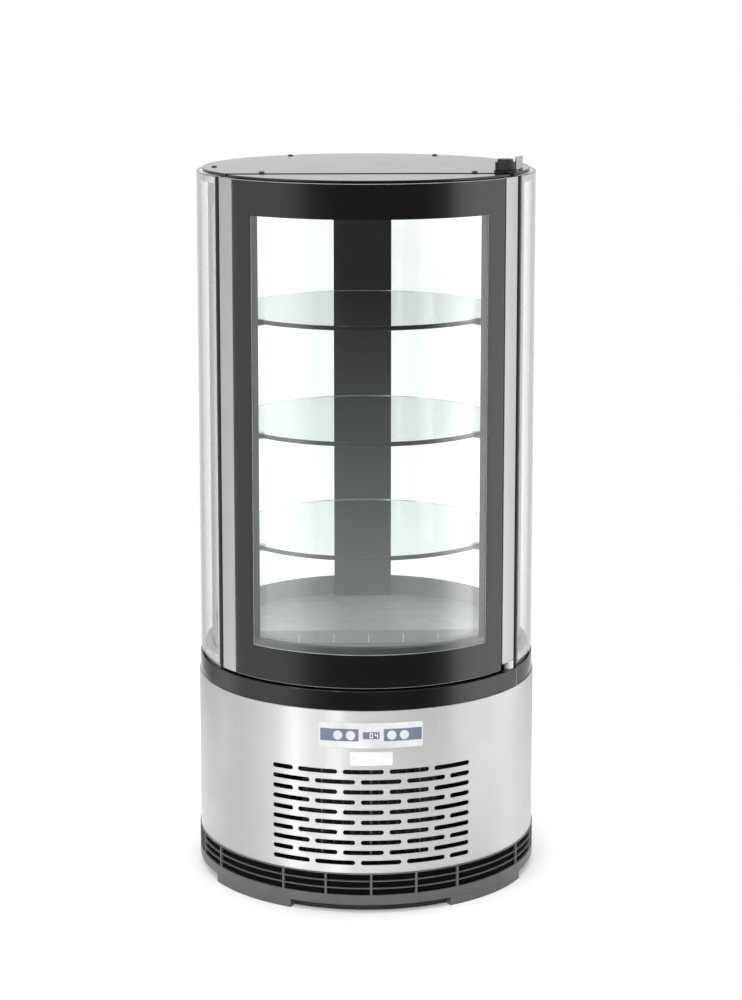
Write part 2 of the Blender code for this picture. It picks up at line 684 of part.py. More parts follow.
def build_base_rim():
    inner = RIM_RADIUS - RIM_WALL
    under_plate = RIM_TOP - RIM_PLATE
    profile = [
        (0, under_plate), (inner, under_plate), (inner, RIM_BOTTOM),
        (RIM_RADIUS, RIM_BOTTOM), (RIM_RADIUS, RIM_TOP), (0, RIM_TOP),
    ]
    rim = make("base_rim", turned(profile, ROUND_STEPS), "black_gloss")
    lug_radius = RIM_RADIUS + LUG_PROUD
    root = RIM_RADIUS - RIM_WALL / 2
    start = HINGE_ANGLE - LUG_BEFORE_ANGLE
    end = HINGE_ANGLE + LUG_AFTER_ANGLE
    shoulder = lug_radius - LUG_PROUD / 3
    lug = [
        polar(root, start), polar(RIM_RADIUS - SEAT_GAP, start + LUG_RAMP_ANGLE / 3),
        polar(shoulder, start + LUG_RAMP_ANGLE),
        polar(lug_radius, HINGE_ANGLE - LUG_ROUND_ANGLE * 2), polar(lug_radius, HINGE_ANGLE),
        polar(lug_radius, end - LUG_ROUND_ANGLE), polar(shoulder, end - LUG_ROUND_ANGLE / 3),
        polar(RIM_RADIUS, end), polar(root, end),
    ]
    change(rim, "UNION", prism(lug, RIM_BOTTOM, RIM_TOP))
    opening = chamber_outline(RIM_SHELF)
    change(rim, "DIFFERENCE", prism(opening, under_plate - OVERRUN, RIM_TOP + OVERRUN))


def build_insulation_tub():
    shoulder = RIM_RADIUS - RIM_WALL - SEAT_GAP
    top = RIM_TOP - RIM_PLATE - SEAT_GAP
    profile = [
        (0, TUB_BOTTOM), (TUB_RADIUS, TUB_BOTTOM), (TUB_RADIUS, RIM_BOTTOM), (shoulder, RIM_BOTTOM),
        (shoulder, top), (WELL_RADIUS, top), (WELL_RADIUS, WELL_FLOOR), (0, WELL_FLOOR),
    ]
    tub = make("insulation_tub", turned(profile, ROUND_STEPS), "foam")
    port_x, port_y = suction_port()
    port = circle(TUB_PORT_RADIUS, PIN_STEPS, port_x, port_y)
    change(tub, "DIFFERENCE", prism(port, TUB_BOTTOM - OVERRUN, WELL_FLOOR + OVERRUN))


def build_deck():
    ledge_top = DECK_TOP - DECK_THICKNESS - SEAT_GAP
    steps = (
        (0, ON_RIM), (0, LINER_TOP), (LINER_WALL, LINER_TOP), (LINER_WALL, ledge_top),
        (LINER_WALL + LEDGE_WIDTH, ledge_top), (LINER_WALL + LEDGE_WIDTH, ledge_top - LEDGE_THICKNESS),
        (LINER_WALL, ON_RIM),
    )
    loops = [[(x, y, height) for x, y in chamber_outline(inset)] for inset, height in steps]
    liner = bmesh.new()
    add_loops(liner, loops, closed=True)
    make("deck_liner", liner, "grey_plastic")
    plate = chamber_outline(LINER_WALL + SEAT_GAP)
    make("deck_plate", prism(plate, DECK_TOP - DECK_THICKNESS, DECK_TOP), "deck_grey")


# Control panel
def curved_plate(name, width, height, corner, thickness, centre_height, finish):
    """A thin plate with rounded corners that hugs the base shell."""
    inner = BASE_RADIUS + SEAT_GAP
    reach = math.degrees(width / 2 / BASE_RADIUS) + FACET_ANGLE
    band = sector(inner, inner + thickness, -reach, reach)
    plate = make(name, prism(band, centre_height - height, centre_height + height), finish)
    outline = rounded_slab(width, height, corner, 0, centre_height)
    change(plate, "INTERSECT", prism(outline, CHAMBER_RADIUS, BASE_RADIUS + OVERRUN, outward(FRONT_ANGLE)))
    return plate


def build_control_panel():
    height = SHELL_TOP - FASCIA_DROP
    seat = BASE_RADIUS + SEAT_GAP
    face = seat + FASCIA_THICKNESS
    back = seat - FASCIA_BODY_DEPTH
    fascia = curved_plate("control_fascia", FASCIA_WIDTH, FASCIA_HEIGHT, FASCIA_CORNER,
                          FASCIA_THICKNESS, height, "white_plastic")
    half_turn = math.degrees(math.asin(FASCIA_BODY_WIDTH / 2 / BASE_RADIUS))
    body = bmesh.new()
    outline = sector(back, seat + FASCIA_THICKNESS / 2, -half_turn, half_turn)
    add_prism(body, outline, height - FASCIA_BODY_HEIGHT / 2, height + FASCIA_BODY_HEIGHT / 2)
    change(fascia, "UNION", body)
    board_front = BASE_RADIUS - BOARD_SETBACK
    posts = bmesh.new()
    for side in (-1, 1):
        outline = circle(BOARD_POST_RADIUS, PIN_STEPS // 2, side * BOARD_POST_OFFSET, height)
        post_back = board_front + SEAT_GAP
        post_front = math.sqrt(back * back - BOARD_POST_OFFSET * BOARD_POST_OFFSET) + LAP * 2
        add_prism(posts, outline, post_back, post_front, outward(FRONT_ANGLE))
    change(fascia, "UNION", posts)
    holes = bmesh.new()
    for offset in BUTTON_OFFSETS:
        angle = math.degrees(offset / BASE_RADIUS)
        outline = circle(BUTTON_RADIUS + SEAT_GAP, BARREL_STEPS)
        add_prism(holes, outline, back - OVERRUN, face + OVERRUN, outward(angle, height))
    window = slab(-WINDOW_WIDTH / 2, WINDOW_WIDTH / 2, height - WINDOW_HEIGHT / 2, height + WINDOW_HEIGHT / 2)
    add_prism(holes, window, back - OVERRUN, face + OVERRUN, outward(FRONT_ANGLE))
    change(fascia, "DIFFERENCE", holes)
    pane = slab(-WINDOW_WIDTH / 2 + SEAT_GAP, WINDOW_WIDTH / 2 - SEAT_GAP,
                height - WINDOW_HEIGHT / 2 + SEAT_GAP, height + WINDOW_HEIGHT / 2 - SEAT_GAP)
    make("display_window", prism(pane, face - WINDOW_DEPTH, face, outward(FRONT_ANGLE)), "display_tint")
    board = slab(-BOARD_WIDTH / 2, BOARD_WIDTH / 2, height - BOARD_HEIGHT / 2, height + BOARD_HEIGHT / 2)
    make("control_board", prism(board, board_front - BOARD_THICKNESS, board_front, outward(FRONT_ANGLE)),
         "board_green")
    for number, offset in enumerate(BUTTON_OFFSETS, 1):
        build_button(number, math.degrees(offset / BASE_RADIUS), height, face)
    curved_plate("badge_plate", BADGE_WIDTH, BADGE_HEIGHT, BADGE_CORNER, BADGE_THICKNESS,
                 SHELL_TOP - BADGE_DROP, "white_plastic")


def build_button(number, angle, height, face):
    tip = face + BUTTON_PROUD
    pivot = add_pivot(f"button_{number}_guide", (*polar(tip, angle), height))
    profile = [
        (0, tip - BUTTON_DEPTH), (BUTTON_RADIUS, tip - BUTTON_DEPTH), (BUTTON_RADIUS, tip - BUTTON_CHAMFER),
        (BUTTON_RADIUS - BUTTON_CHAMFER, tip), (0, tip),
    ]
    make(f"button_{number}", turned(profile, BARREL_STEPS, outward(angle, height)), "white_plastic", pivot)


# Cold cabinet
def build_mullions():
    outer = on_facets(GLASS_RADIUS, MULLION_ANGLE)
    outline = [
        (OPENING_HALF + SEAT_GAP, -OPENING_FACE),
        (math.sqrt(GLASS_RADIUS ** 2 - OPENING_FACE ** 2) - SEAT_GAP, -OPENING_FACE),
        outer,
        (MULLION_BACK * math.tan(math.radians(MULLION_ANGLE)), -MULLION_BACK),
        (OPENING_HALF + SEAT_GAP, -MULLION_BACK),
    ]
    make("mullion_right", prism(outline, ON_RIM, UNDER_TOP), "black_plastic")
    make("mullion_left", prism(mirrored(outline), ON_RIM, UNDER_TOP), "black_plastic")


def framed_window(name, inner, outer, span, heights, margins, finish, pivot=None):
    """A curved frame: margins are its side bar as an angle, its foot and its head."""
    start, end = span
    low, high = heights
    side, foot, head = margins
    frame = make(name, prism(sector(inner, outer, start, end), low, high), finish, pivot)
    hole = sector(inner - OVERRUN, outer + OVERRUN, start + side, end - side)
    change(frame, "DIFFERENCE", prism(hole, low + foot, high - head))


def build_side_glass():
    rear = REAR_ANGLE - REAR_POST_HALF_ANGLE - math.degrees(SEAT_GAP / INNER_PANE_BACK)
    bar = math.degrees(SIDE_SPACER_BAR / SPACER_FRONT)
    spans = {"right": (SIDE_GLASS_ANGLE, rear), "left": (FULL_TURN - rear, FULL_TURN - SIDE_GLASS_ANGLE)}
    low = RIM_TOP + SIDE_GLASS_LIFT
    for side, (start, end) in spans.items():
        outer = sector(PANE_BACK, GLASS_RADIUS, start, end)
        inner = sector(INNER_PANE_BACK, INNER_PANE_FRONT, start, end)
        make(f"side_glass_{side}_outer", prism(outer, low, DOOR_TOP), "glass")
        make(f"side_glass_{side}_inner", prism(inner, low, DOOR_TOP), "glass")
        framed_window(f"side_spacer_{side}", SPACER_BACK, SPACER_FRONT, (start, end),
                      (ON_RIM, UNDER_TOP), (bar, SIDE_SPACER_FOOT, SIDE_SPACER_BAR), "aluminium")
    post = sector(INNER_PANE_BACK, GLASS_RADIUS, REAR_ANGLE - REAR_POST_HALF_ANGLE,
                  REAR_ANGLE + REAR_POST_HALF_ANGLE)
    make("rear_post", prism(post, ON_RIM, UNDER_TOP), "black_plastic")


def build_roof():
    make("roof_panel", prism(chamber_outline(0), ROOF_BOTTOM, UNDER_TOP), "white_plastic")
    front = OPENING_FACE - LIGHT_SETBACK
    bar = slab(-LIGHT_WIDTH / 2, LIGHT_WIDTH / 2, -front, -front + LIGHT_DEPTH)
    make("light_bar", prism(bar, UNDER_ROOF - LIGHT_HEIGHT, UNDER_ROOF), "light_diffuser")


def screw_places(radius, nose):
    """Screw centres on the top plate, from the right front round the rear to the left front."""
    right = [(math.sqrt(radius ** 2 - nose ** 2) - SCREW_CORNER_INSET, SCREW_FRONT_INSET - nose)]
    right += [polar(radius - inset, angle) for angle, inset in zip(SCREW_RIM_ANGLES, SCREW_RIM_INSETS)]
    return right + mirrored(right)


def build_top_plate():
    radius = GLASS_RADIUS - TOP_PLATE_SETBACK
    nose = DOOR_BACK + TOP_PLATE_NOSE
    corner = math.degrees(math.acos(nose / radius))
    outline = arc(radius, corner, FULL_TURN - corner)
    plate = make("top_plate", prism(outline, PLATE_BOTTOM, PLATE_TOP), "black_gloss")
    seat = PLATE_TOP + SEAT_GAP
    holes = bmesh.new()
    for number, (x, y) in enumerate(screw_places(radius, nose), 1):
        hole = circle(SCREW_HOLE_RADIUS, PIN_STEPS // 2, x, y)
        add_prism(holes, hole, PLATE_BOTTOM - OVERRUN, PLATE_TOP + OVERRUN)
        profile = [
            (0, seat - SCREW_SHANK_LENGTH), (SCREW_SHANK_RADIUS, seat - SCREW_SHANK_LENGTH),
            (SCREW_SHANK_RADIUS, seat), (SCREW_HEAD_RADIUS, seat),
            (SCREW_HEAD_RADIUS * SCREW_DOME_SHARE, seat + SCREW_HEAD_HEIGHT), (0, seat + SCREW_HEAD_HEIGHT),
        ]
        make(f"top_screw_{number}", turned(profile, PIN_STEPS // 2, at(x, y)), "black_enamel")
    change(plate, "DIFFERENCE", holes)


# Shelves
def shelf_top(level):
    return DECK_TOP + LOWEST_SHELF_RISE + level * SHELF_PITCH


def arm_points(level, root, tip):
    """The four corners of a tapered shelf arm, from its upper root round to its lower root."""
    top = shelf_top(level) - SHELF_THICKNESS - SEAT_GAP
    return [(root, top), (tip, top), (tip, top - ARM_TIP), (root, top - ARM_ROOT)]


def build_shelves():
    for level, name in enumerate(SHELF_NAMES):
        disc = arc(SHELF_RADIUS, 0, FULL_TURN)[:-1]
        top = shelf_top(level)
        make(f"shelf_{name}", prism(disc, top - SHELF_THICKNESS, top), "glass")
    inner = OPENING_HALF + SEAT_GAP
    outer = inner + RAIL_WIDTH
    middle = CHAMBER_STEP - RAIL_DEPTH / 2
    tip = math.sqrt(SHELF_RADIUS ** 2 - middle ** 2) - ARM_REACH
    low = LINER_TOP + SEAT_GAP
    comb = [(outer, low), (outer, UNDER_ROOF), (inner, UNDER_ROOF)]
    for level in reversed(range(len(SHELF_NAMES))):
        comb += arm_points(level, inner, tip)
    comb.append((inner, low))
    for side, outline in (("right", comb), ("left", mirrored(comb))):
        rail = prism(outline, CHAMBER_STEP - RAIL_DEPTH, CHAMBER_STEP, outward(FRONT_ANGLE))
        make(f"shelf_rail_{side}", rail, "grey_plastic")


def build_column():
    back = COLUMN_FRONT + COLUMN_DEPTH
    inner = COLUMN_HALF_WIDTH - COLUMN_WALL
    floor = COLUMN_FRONT + COLUMN_WALL
    outline = [
        (-COLUMN_HALF_WIDTH, COLUMN_FRONT), (COLUMN_HALF_WIDTH, COLUMN_FRONT), (COLUMN_HALF_WIDTH, back),
        (inner, back), (inner, floor), (-inner, floor), (-inner, back), (-COLUMN_HALF_WIDTH, back),
    ]
    column = make("column_cover", prism(outline, DECK_TOP + SEAT_GAP, UNDER_ROOF), "black_plastic")
    arms = bmesh.new()
    tip = SHELF_RADIUS - ARM_REACH
    for level in range(len(SHELF_NAMES)):
        outline = arm_points(level, COLUMN_FRONT + COLUMN_WALL / 2, tip)
        add_prism(arms, outline, -REAR_ARM_HALF_WIDTH, REAR_ARM_HALF_WIDTH, outward(SIDE_ANGLE))
    change(column, "UNION", arms)


# Door
def build_door(hinge):
    pane = sector(PANE_BACK, GLASS_RADIUS, -DOOR_PANE_ANGLE, DOOR_PANE_ANGLE)
    make("door_glass_outer", prism(pane, DOOR_BOTTOM, DOOR_TOP), "glass", hinge)
    inner_angle = DOOR_PANE_ANGLE - math.degrees(INNER_PANE_MARGIN / GLASS_RADIUS)
    low = DOOR_BOTTOM + INNER_PANE_RISE
    high = DOOR_TOP - INNER_PANE_DROP
    pane = sector(INNER_PANE_BACK, INNER_PANE_FRONT, -inner_angle, inner_angle)
    make("door_glass_inner", prism(pane, low, high), "glass", hinge)
    bar = math.degrees(DOOR_SPACER_SIDE / SPACER_FRONT)
    framed_window("door_spacer", SPACER_BACK, SPACER_FRONT, (-inner_angle, inner_angle), (low, high),
                  (bar, DOOR_SPACER_FOOT, DOOR_SPACER_HEAD), "aluminium", hinge)
    build_door_frame(hinge, inner_angle, low, high)
    build_stiles(hinge)
    cap = segment(PANE_BACK - CAP_SETBACK, DOOR_BACK + CAP_NOSE)
    make("door_top_cap", prism(cap, PLATE_BOTTOM, PLATE_BOTTOM + CAP_THICKNESS), "black_gloss", hinge)
    build_gasket(hinge)


def build_door_frame(hinge, inner_angle, low, high):
    edge_angle = math.degrees(math.asin(FRAME_HALF / SPACER_FRONT))
    outline = [(-FRAME_HALF, -DOOR_BACK)] + arc(SPACER_FRONT, -edge_angle, edge_angle)
    outline.append((FRAME_HALF, -DOOR_BACK))
    frame = make("door_frame", prism(outline, DOOR_BOTTOM, DOOR_TOP), "black_plastic", hinge)
    side = FRAME_HALF - FRAME_POST
    pane_seat = INNER_PANE_BACK - SEAT_GAP
    fit = math.degrees(FRAME_POCKET_FIT / INNER_PANE_BACK)
    hollow = arc(pane_seat, -inner_angle, inner_angle) + [
        (side, -DOOR_BACK - FRAME_POST_DEPTH), (side, -DOOR_BACK + OVERRUN),
        (-side, -DOOR_BACK + OVERRUN), (-side, -DOOR_BACK - FRAME_POST_DEPTH),
    ]
    change(frame, "DIFFERENCE", prism(hollow, DOOR_BOTTOM + FRAME_FOOT, DOOR_TOP - FRAME_HEAD))
    pocket = sector(pane_seat - LAP, SPACER_FRONT + OVERRUN, -inner_angle - fit, inner_angle + fit)
    change(frame, "DIFFERENCE", prism(pocket, low - FRAME_POCKET_FIT, high + FRAME_POCKET_FIT))


def build_stiles(hinge):
    inside = FRAME_HALF + SEAT_GAP
    outside = GLASS_RADIUS * math.sin(math.radians(STILE_END_ANGLE))
    outline = arc(GLASS_RADIUS, STILE_START_ANGLE, STILE_END_ANGLE) + [
        (outside, -DOOR_BACK), (inside, -DOOR_BACK),
        (inside, -math.sqrt((SPACER_FRONT * FLAT_REACH_SHARE) ** 2 - inside ** 2)),
        on_facets(SPACER_FRONT, STILE_START_ANGLE),
    ]
    make("door_stile_handle", prism(mirrored(outline), DOOR_BOTTOM, DOOR_TOP), "aluminium", hinge)
    bottom = ON_RIM + HINGE_COLLAR_HEIGHT + SEAT_GAP
    stile = make("door_stile_hinge", prism(outline, bottom, DOOR_TOP), "aluminium", hinge)
    bores = bmesh.new()
    bore = circle(HINGE_BORE_RADIUS, PIN_STEPS, HINGE_X, HINGE_Y)
    depth = HINGE_PIN_LENGTH + OVERRUN
    add_prism(bores, bore, bottom - OVERRUN, bottom + depth)
    add_prism(bores, bore, DOOR_TOP - depth, DOOR_TOP + OVERRUN)
    change(stile, "DIFFERENCE", bores)


def build_gasket(hinge):
    low = DOOR_BOTTOM + GASKET_RISE
    high = DOOR_TOP - GASKET_DROP
    outer = FRAME_HALF + GASKET_LAP
    inner = outer - GASKET_WIDTH
    front = OPENING_FACE + SEAT_GAP
    back = front + GASKET_THICKNESS
    loops = []
    for half, trim in ((outer, 0), (inner, GASKET_WIDTH)):
        for distance in (front, back) if trim == 0 else (back, front):
            loops.append([
                (-half, -distance, low + trim), (half, -distance, low + trim),
                (half, -distance, high - trim), (-half, -distance, high - trim),
            ])
    gasket = bmesh.new()
    add_loops(gasket, loops, closed=True)
    make("door_gasket", gasket, "rubber", hinge)


def build_hinges():
    collar = ON_RIM + HINGE_COLLAR_HEIGHT
    profile = [
        (0, ON_RIM), (HINGE_COLLAR_RADIUS, ON_RIM), (HINGE_COLLAR_RADIUS, collar),
        (HINGE_PIN_RADIUS, collar), (HINGE_PIN_RADIUS, collar + HINGE_PIN_LENGTH),
        (0, collar + HINGE_PIN_LENGTH),
    ]
    make("hinge_pin_lower", turned(profile, PIN_STEPS, at(HINGE_X, HINGE_Y)), "aluminium")
    low = ON_PLATE
    high = low + HINGE_PLATE_THICKNESS
    seat_radius = KNOB_RADIUS + KNOB_SEAT_MARGIN
    knob_x, knob_y = polar(KNOB_REACH, KNOB_ANGLE)
    arm = hull(circle(seat_radius, BARREL_STEPS, knob_x, knob_y)
               + circle(HINGE_ARM_RADIUS, BARREL_STEPS, HINGE_X, HINGE_Y))
    plate = make("hinge_plate_top", prism(arm, low, high), "stainless")
    foot = sector(TAB_OUTER - TAB_FOOT_WIDTH, TAB_OUTER, TAB_FOOT_ANGLE, TAB_END_ANGLE + TAB_MARGIN_ANGLE)
    change(plate, "UNION", prism(foot, low, high))
    tab = sector(TAB_OUTER - TAB_THICKNESS, TAB_OUTER - TAB_INSET, TAB_START_ANGLE, TAB_END_ANGLE)
    change(plate, "UNION", prism(tab, (low + high) / 2, low + TAB_HEIGHT))
    pin = circle(HINGE_PIN_RADIUS, PIN_STEPS, HINGE_X, HINGE_Y)
    change(plate, "UNION", prism(pin, low - HINGE_PIN_LENGTH, low + LAP))
    seat = high + SEAT_GAP
    step = seat + KNOB_HEIGHT
    top = step + KNOB_TOP_HEIGHT
    profile = [
        (0, seat), (KNOB_RADIUS, seat), (KNOB_RADIUS, step), (KNOB_TOP_RADIUS, step),
        (KNOB_TOP_RADIUS, top), (0, top),
    ]
    make("hinge_knob", turned(profile, BARREL_STEPS, at(knob_x, knob_y)), "black_plastic")


# Refrigeration set
def finned_outline(width, depth):
    """A web with fins on one side, seen from above; the fins point to -y."""
    count = math.floor((width - FIN_THICKNESS) / FIN_PITCH) + 1
    start = -(count - 1) * FIN_PITCH / 2
    points = []
    for index in range(count):
        middle = start + index * FIN_PITCH
        left = middle - FIN_THICKNESS / 2
        right = middle + FIN_THICKNESS / 2
        points += [(left, -FIN_WEB), (left, -depth), (right, -depth), (right, -FIN_WEB)]
    points[0] = (points[0][0], 0)
    points[-1] = (points[-1][0], 0)
    return points


def build_condenser():
    top = ON_PAN + CONDENSER_HEIGHT
    finned = finned_outline(CONDENSER_WIDTH, CONDENSER_DEPTH)
    make("condenser", prism(finned, ON_PAN, top, at(0, -CONDENSER_BACK)), "galvanised")
    place = outward(FRONT_ANGLE, ON_PAN + CONDENSER_HEIGHT / 2) @ at(0, 0, CONDENSER_BACK - SEAT_GAP)
    build_fan("condenser_fan", place, CONDENSER_WIDTH, CONDENSER_HEIGHT, CONDENSER_FAN_BORE,
              CONDENSER_FAN_COLLAR, CONDENSER_MOTOR_RADIUS, CONDENSER_MOTOR_LENGTH)


def build_evaporator():
    floor = WELL_FLOOR + SEAT_GAP
    finned = finned_outline(EVAPORATOR_WIDTH, EVAPORATOR_HEIGHT)
    upright = outward(REAR_ANGLE) @ at(0, floor)
    raised = [(x, -y) for x, y in finned[::-1]]
    front = EVAPORATOR_REAR - EVAPORATOR_DEPTH
    make("evaporator", prism(raised, front, EVAPORATOR_REAR, upright), "aluminium")
    total = EVAPORATOR_FAN_COLLAR + EVAPORATOR_MOTOR_LENGTH
    place = at(0, EVAPORATOR_FAN_Y, floor + total)
    build_fan("evaporator_fan", place, EVAPORATOR_FAN_SIDE, EVAPORATOR_FAN_SIDE, EVAPORATOR_FAN_BORE,
              EVAPORATOR_FAN_COLLAR, EVAPORATOR_MOTOR_RADIUS, EVAPORATOR_MOTOR_LENGTH)


def build_fan(name, place, width, height, bore, collar, motor_radius, motor_length):
    """A plate with a round collar, a motor on three struts behind it, and a blade on the motor's pin."""
    plate = rounded_slab(width, height, FAN_STRUT_WIDTH, 0, 0)
    frame = make(f"{name}_frame", prism(plate, -FAN_PLATE, 0, place), "black_plastic")
    collar_outer = bore + FAN_COLLAR_WALL
    ring = [(bore, -collar), (collar_outer, -collar), (collar_outer, -FAN_PLATE / 2), (bore, -FAN_PLATE / 2)]
    change(frame, "DIFFERENCE", prism(circle(bore, BARREL_STEPS), -FAN_PLATE - OVERRUN, OVERRUN, place))
    change(frame, "UNION", turned(ring, BARREL_STEPS, place))
    back = -collar - motor_length
    motor = prism(circle(motor_radius, PIN_STEPS), back, -collar + FAN_STRUT_THICKNESS, place)
    for index in range(FAN_STRUTS):
        turn = place @ Matrix.Rotation(2 * math.pi * index / FAN_STRUTS, 4, "Z")
        strut = slab(motor_radius / 2, collar_outer - LAP / 2, -FAN_STRUT_WIDTH / 2, FAN_STRUT_WIDTH / 2)
        strut_shape = prism(strut, -collar - FAN_STRUT_THICKNESS, -collar + LAP / 2, turn)
        change(frame, "UNION", strut_shape)
    change(frame, "UNION", motor)
    pin_top = -collar / 2
    change(frame, "UNION", prism(circle(FAN_PIN_RADIUS, PIN_STEPS // 2), -collar, pin_top, place))
    build_blade(name, place, bore, collar, pin_top)


def build_blade(name, place, bore, collar, pin_top):
    pivot = add_pivot(f"{name}_axle", place.translation)
    hub = bore * FAN_HUB_SHARE
    tip = bore - FAN_TIP_GAP
    low = -collar + FAN_STRUT_THICKNESS + FAN_BORE_GAP
    high = -FAN_END_GAP
    sleeve = FAN_PIN_RADIUS + FAN_BORE_GAP
    roof = pin_top + FAN_BORE_GAP
    profile = [(0, roof), (sleeve, roof), (sleeve, low), (hub, low), (hub, high), (0, high)]
    blade = make(f"{name}_blade", turned(profile, BARREL_STEPS, place), "black_plastic", pivot)
    wings = bmesh.new()
    for index in range(FAN_BLADES):
        turn = 2 * math.pi * index / FAN_BLADES
        loops = []
        for radius, span in ((hub - LAP, bore * BLADE_ROOT_SPAN_SHARE), (tip, bore * BLADE_TIP_SPAN_SHARE)):
            lead = turn - span / radius / 2
            trail = turn + span / radius / 2
            corners = (
                (lead, low + BLADE_THICKNESS), (trail, high - 2 * BLADE_THICKNESS),
                (trail, high - BLADE_THICKNESS), (lead, low + 2 * BLADE_THICKNESS),
            )
            loops.append([place @ Vector((radius * math.cos(a), radius * math.sin(a), z))
                          for a, z in corners])
        add_loops(wings, loops, closed=False)
    change(blade, "UNION", wings)


def compressor_seat():
    return ON_PAN + GROMMET_HEIGHT + COMPRESSOR_BASE_THICKNESS


def build_compressor():
    seat = compressor_seat()
    profile = [
        (COMPRESSOR_RADIUS * radius, seat - LAP / 2 + COMPRESSOR_HEIGHT * height)
        for radius, height in COMPRESSOR_PROFILE_SHARES
    ]
    place = at(COMPRESSOR_X, COMPRESSOR_Y)
    body = make("compressor", turned(profile, BARREL_STEPS, place), "black_enamel")
    half_length = COMPRESSOR_BASE_LENGTH / 2
    half_width = COMPRESSOR_BASE_WIDTH / 2
    base = slab(-half_length, half_length, -half_width, half_width)
    change(body, "UNION", prism(base, seat - COMPRESSOR_BASE_THICKNESS, seat, place))
    grommets = bmesh.new()
    for side_x in (-1, 1):
        for side_y in (-1, 1):
            corner = circle(GROMMET_RADIUS, PIN_STEPS, side_x * (half_length - GROMMET_RADIUS - LAP),
                            side_y * (half_width - GROMMET_RADIUS - LAP))
            add_prism(grommets, corner, ON_PAN, seat - COMPRESSOR_BASE_THICKNESS / 2, place)
    change(body, "UNION", grommets)


def suction_port():
    return (-EVAPORATOR_WIDTH / 2 - PIPE_SIDE, EVAPORATOR_REAR - EVAPORATOR_DEPTH / 2)


def smooth_route(points):
    """A curve through the route's own points, with a straight piece at both ends."""
    route = [points[0]]
    for before, start, end, after in zip(points, points[1:], points[2:], points[3:]):
        for step in range(PIPE_STEPS):
            t = step / PIPE_STEPS
            bend = (2 * start + (end - before) * t + (2 * before - 5 * start + 4 * end - after) * t * t
                    + (3 * start - before - 3 * end + after) * t ** 3)
            route.append(bend / 2)
    return route + points[-2:]


def build_pipe(name, points):
    curve = bpy.data.curves.new(name, "CURVE")
    curve.dimensions = "3D"
    curve.bevel_depth = PIPE_RADIUS
    curve.bevel_resolution = 1
    curve.use_fill_caps = True
    route = smooth_route([Vector(point) for point in points])
    spline = curve.splines.new("POLY")
    spline.points.add(len(route) - 1)
    for place, point in zip(spline.points, route):
        place.co = (*point, 1.0)
    curve.materials.append(MATERIALS["copper"])
    bpy.context.scene.collection.objects.link(bpy.data.objects.new(name, curve))


def build_pipes():
    stub = compressor_seat() - LAP / 2 + COMPRESSOR_HEIGHT + SEAT_GAP
    condenser_top = ON_PAN + CONDENSER_HEIGHT + SEAT_GAP
    condenser_x = CONDENSER_WIDTH / 2 - PIPE_SIDE
    condenser_y = -CONDENSER_BACK - FIN_WEB / 2
    start_x = COMPRESSOR_X + PIPE_STUB_OFFSET
    start_y = COMPRESSOR_Y - PIPE_STUB_OFFSET
    height = condenser_top + PIPE_HEADROOM
    build_pipe("discharge_pipe", [
        (start_x, start_y, stub), (start_x, start_y, (stub + height) / 2),
        (start_x, start_y - PIPE_RISE, height), (condenser_x, (start_y + condenser_y) / 2, height),
        (condenser_x, condenser_y + PIPE_RISE, height),
        (condenser_x, condenser_y, condenser_top + PIPE_HEADROOM / 2), (condenser_x, condenser_y, condenser_top),
    ])
    port_x, port_y = suction_port()
    start_x = COMPRESSOR_X - PIPE_STUB_OFFSET
    level = (stub + TUB_BOTTOM) / 2
    middle = WELL_FLOOR + EVAPORATOR_HEIGHT / 2
    build_pipe("suction_pipe", [
        (start_x, COMPRESSOR_Y, stub), (start_x, COMPRESSOR_Y, stub + PIPE_RISE / 2),
        (start_x - PIPE_RISE, COMPRESSOR_Y - PIPE_RISE / 2, level),
        (port_x + PIPE_RISE, port_y + PIPE_RISE / 2, level),
        (port_x, port_y, TUB_BOTTOM), (port_x, port_y, WELL_FLOOR), (port_x, port_y, middle - PIPE_SIDE / 2),
        (port_x + PIPE_SIDE / 2, port_y, middle), (port_x + PIPE_SIDE - SEAT_GAP, port_y, middle),
    ])


def main():
    clear_scene()
    mix_finishes()
    build_plinth()
    build_chassis_pan()
    build_base_shell()
    build_cable_gland()
    build_base_rim()
    build_insulation_tub()
    build_deck()
    build_control_panel()
    build_mullions()
    build_side_glass()
    build_roof()
    build_top_plate()
    build_shelves()
    build_column()
    hinge = add_pivot("door_hinge", (HINGE_X, HINGE_Y, 0))
    build_door(hinge)
    build_hinges()
    build_condenser()
    build_evaporator()
    build_compressor()
    build_pipes()


main()
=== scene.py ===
# %% [markdown]
# # A round cake display case, dressed for its portrait
#
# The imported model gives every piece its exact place. This lesson keeps those places and gives each
# piece the shape detail and the finish that the real one shows. All lengths are in metres, +Z is up
# and the door looks along -Y.

# %% Load the frame and keep its box
import json
import math

import bmesh
import bpy
from mathutils import Matrix, Vector


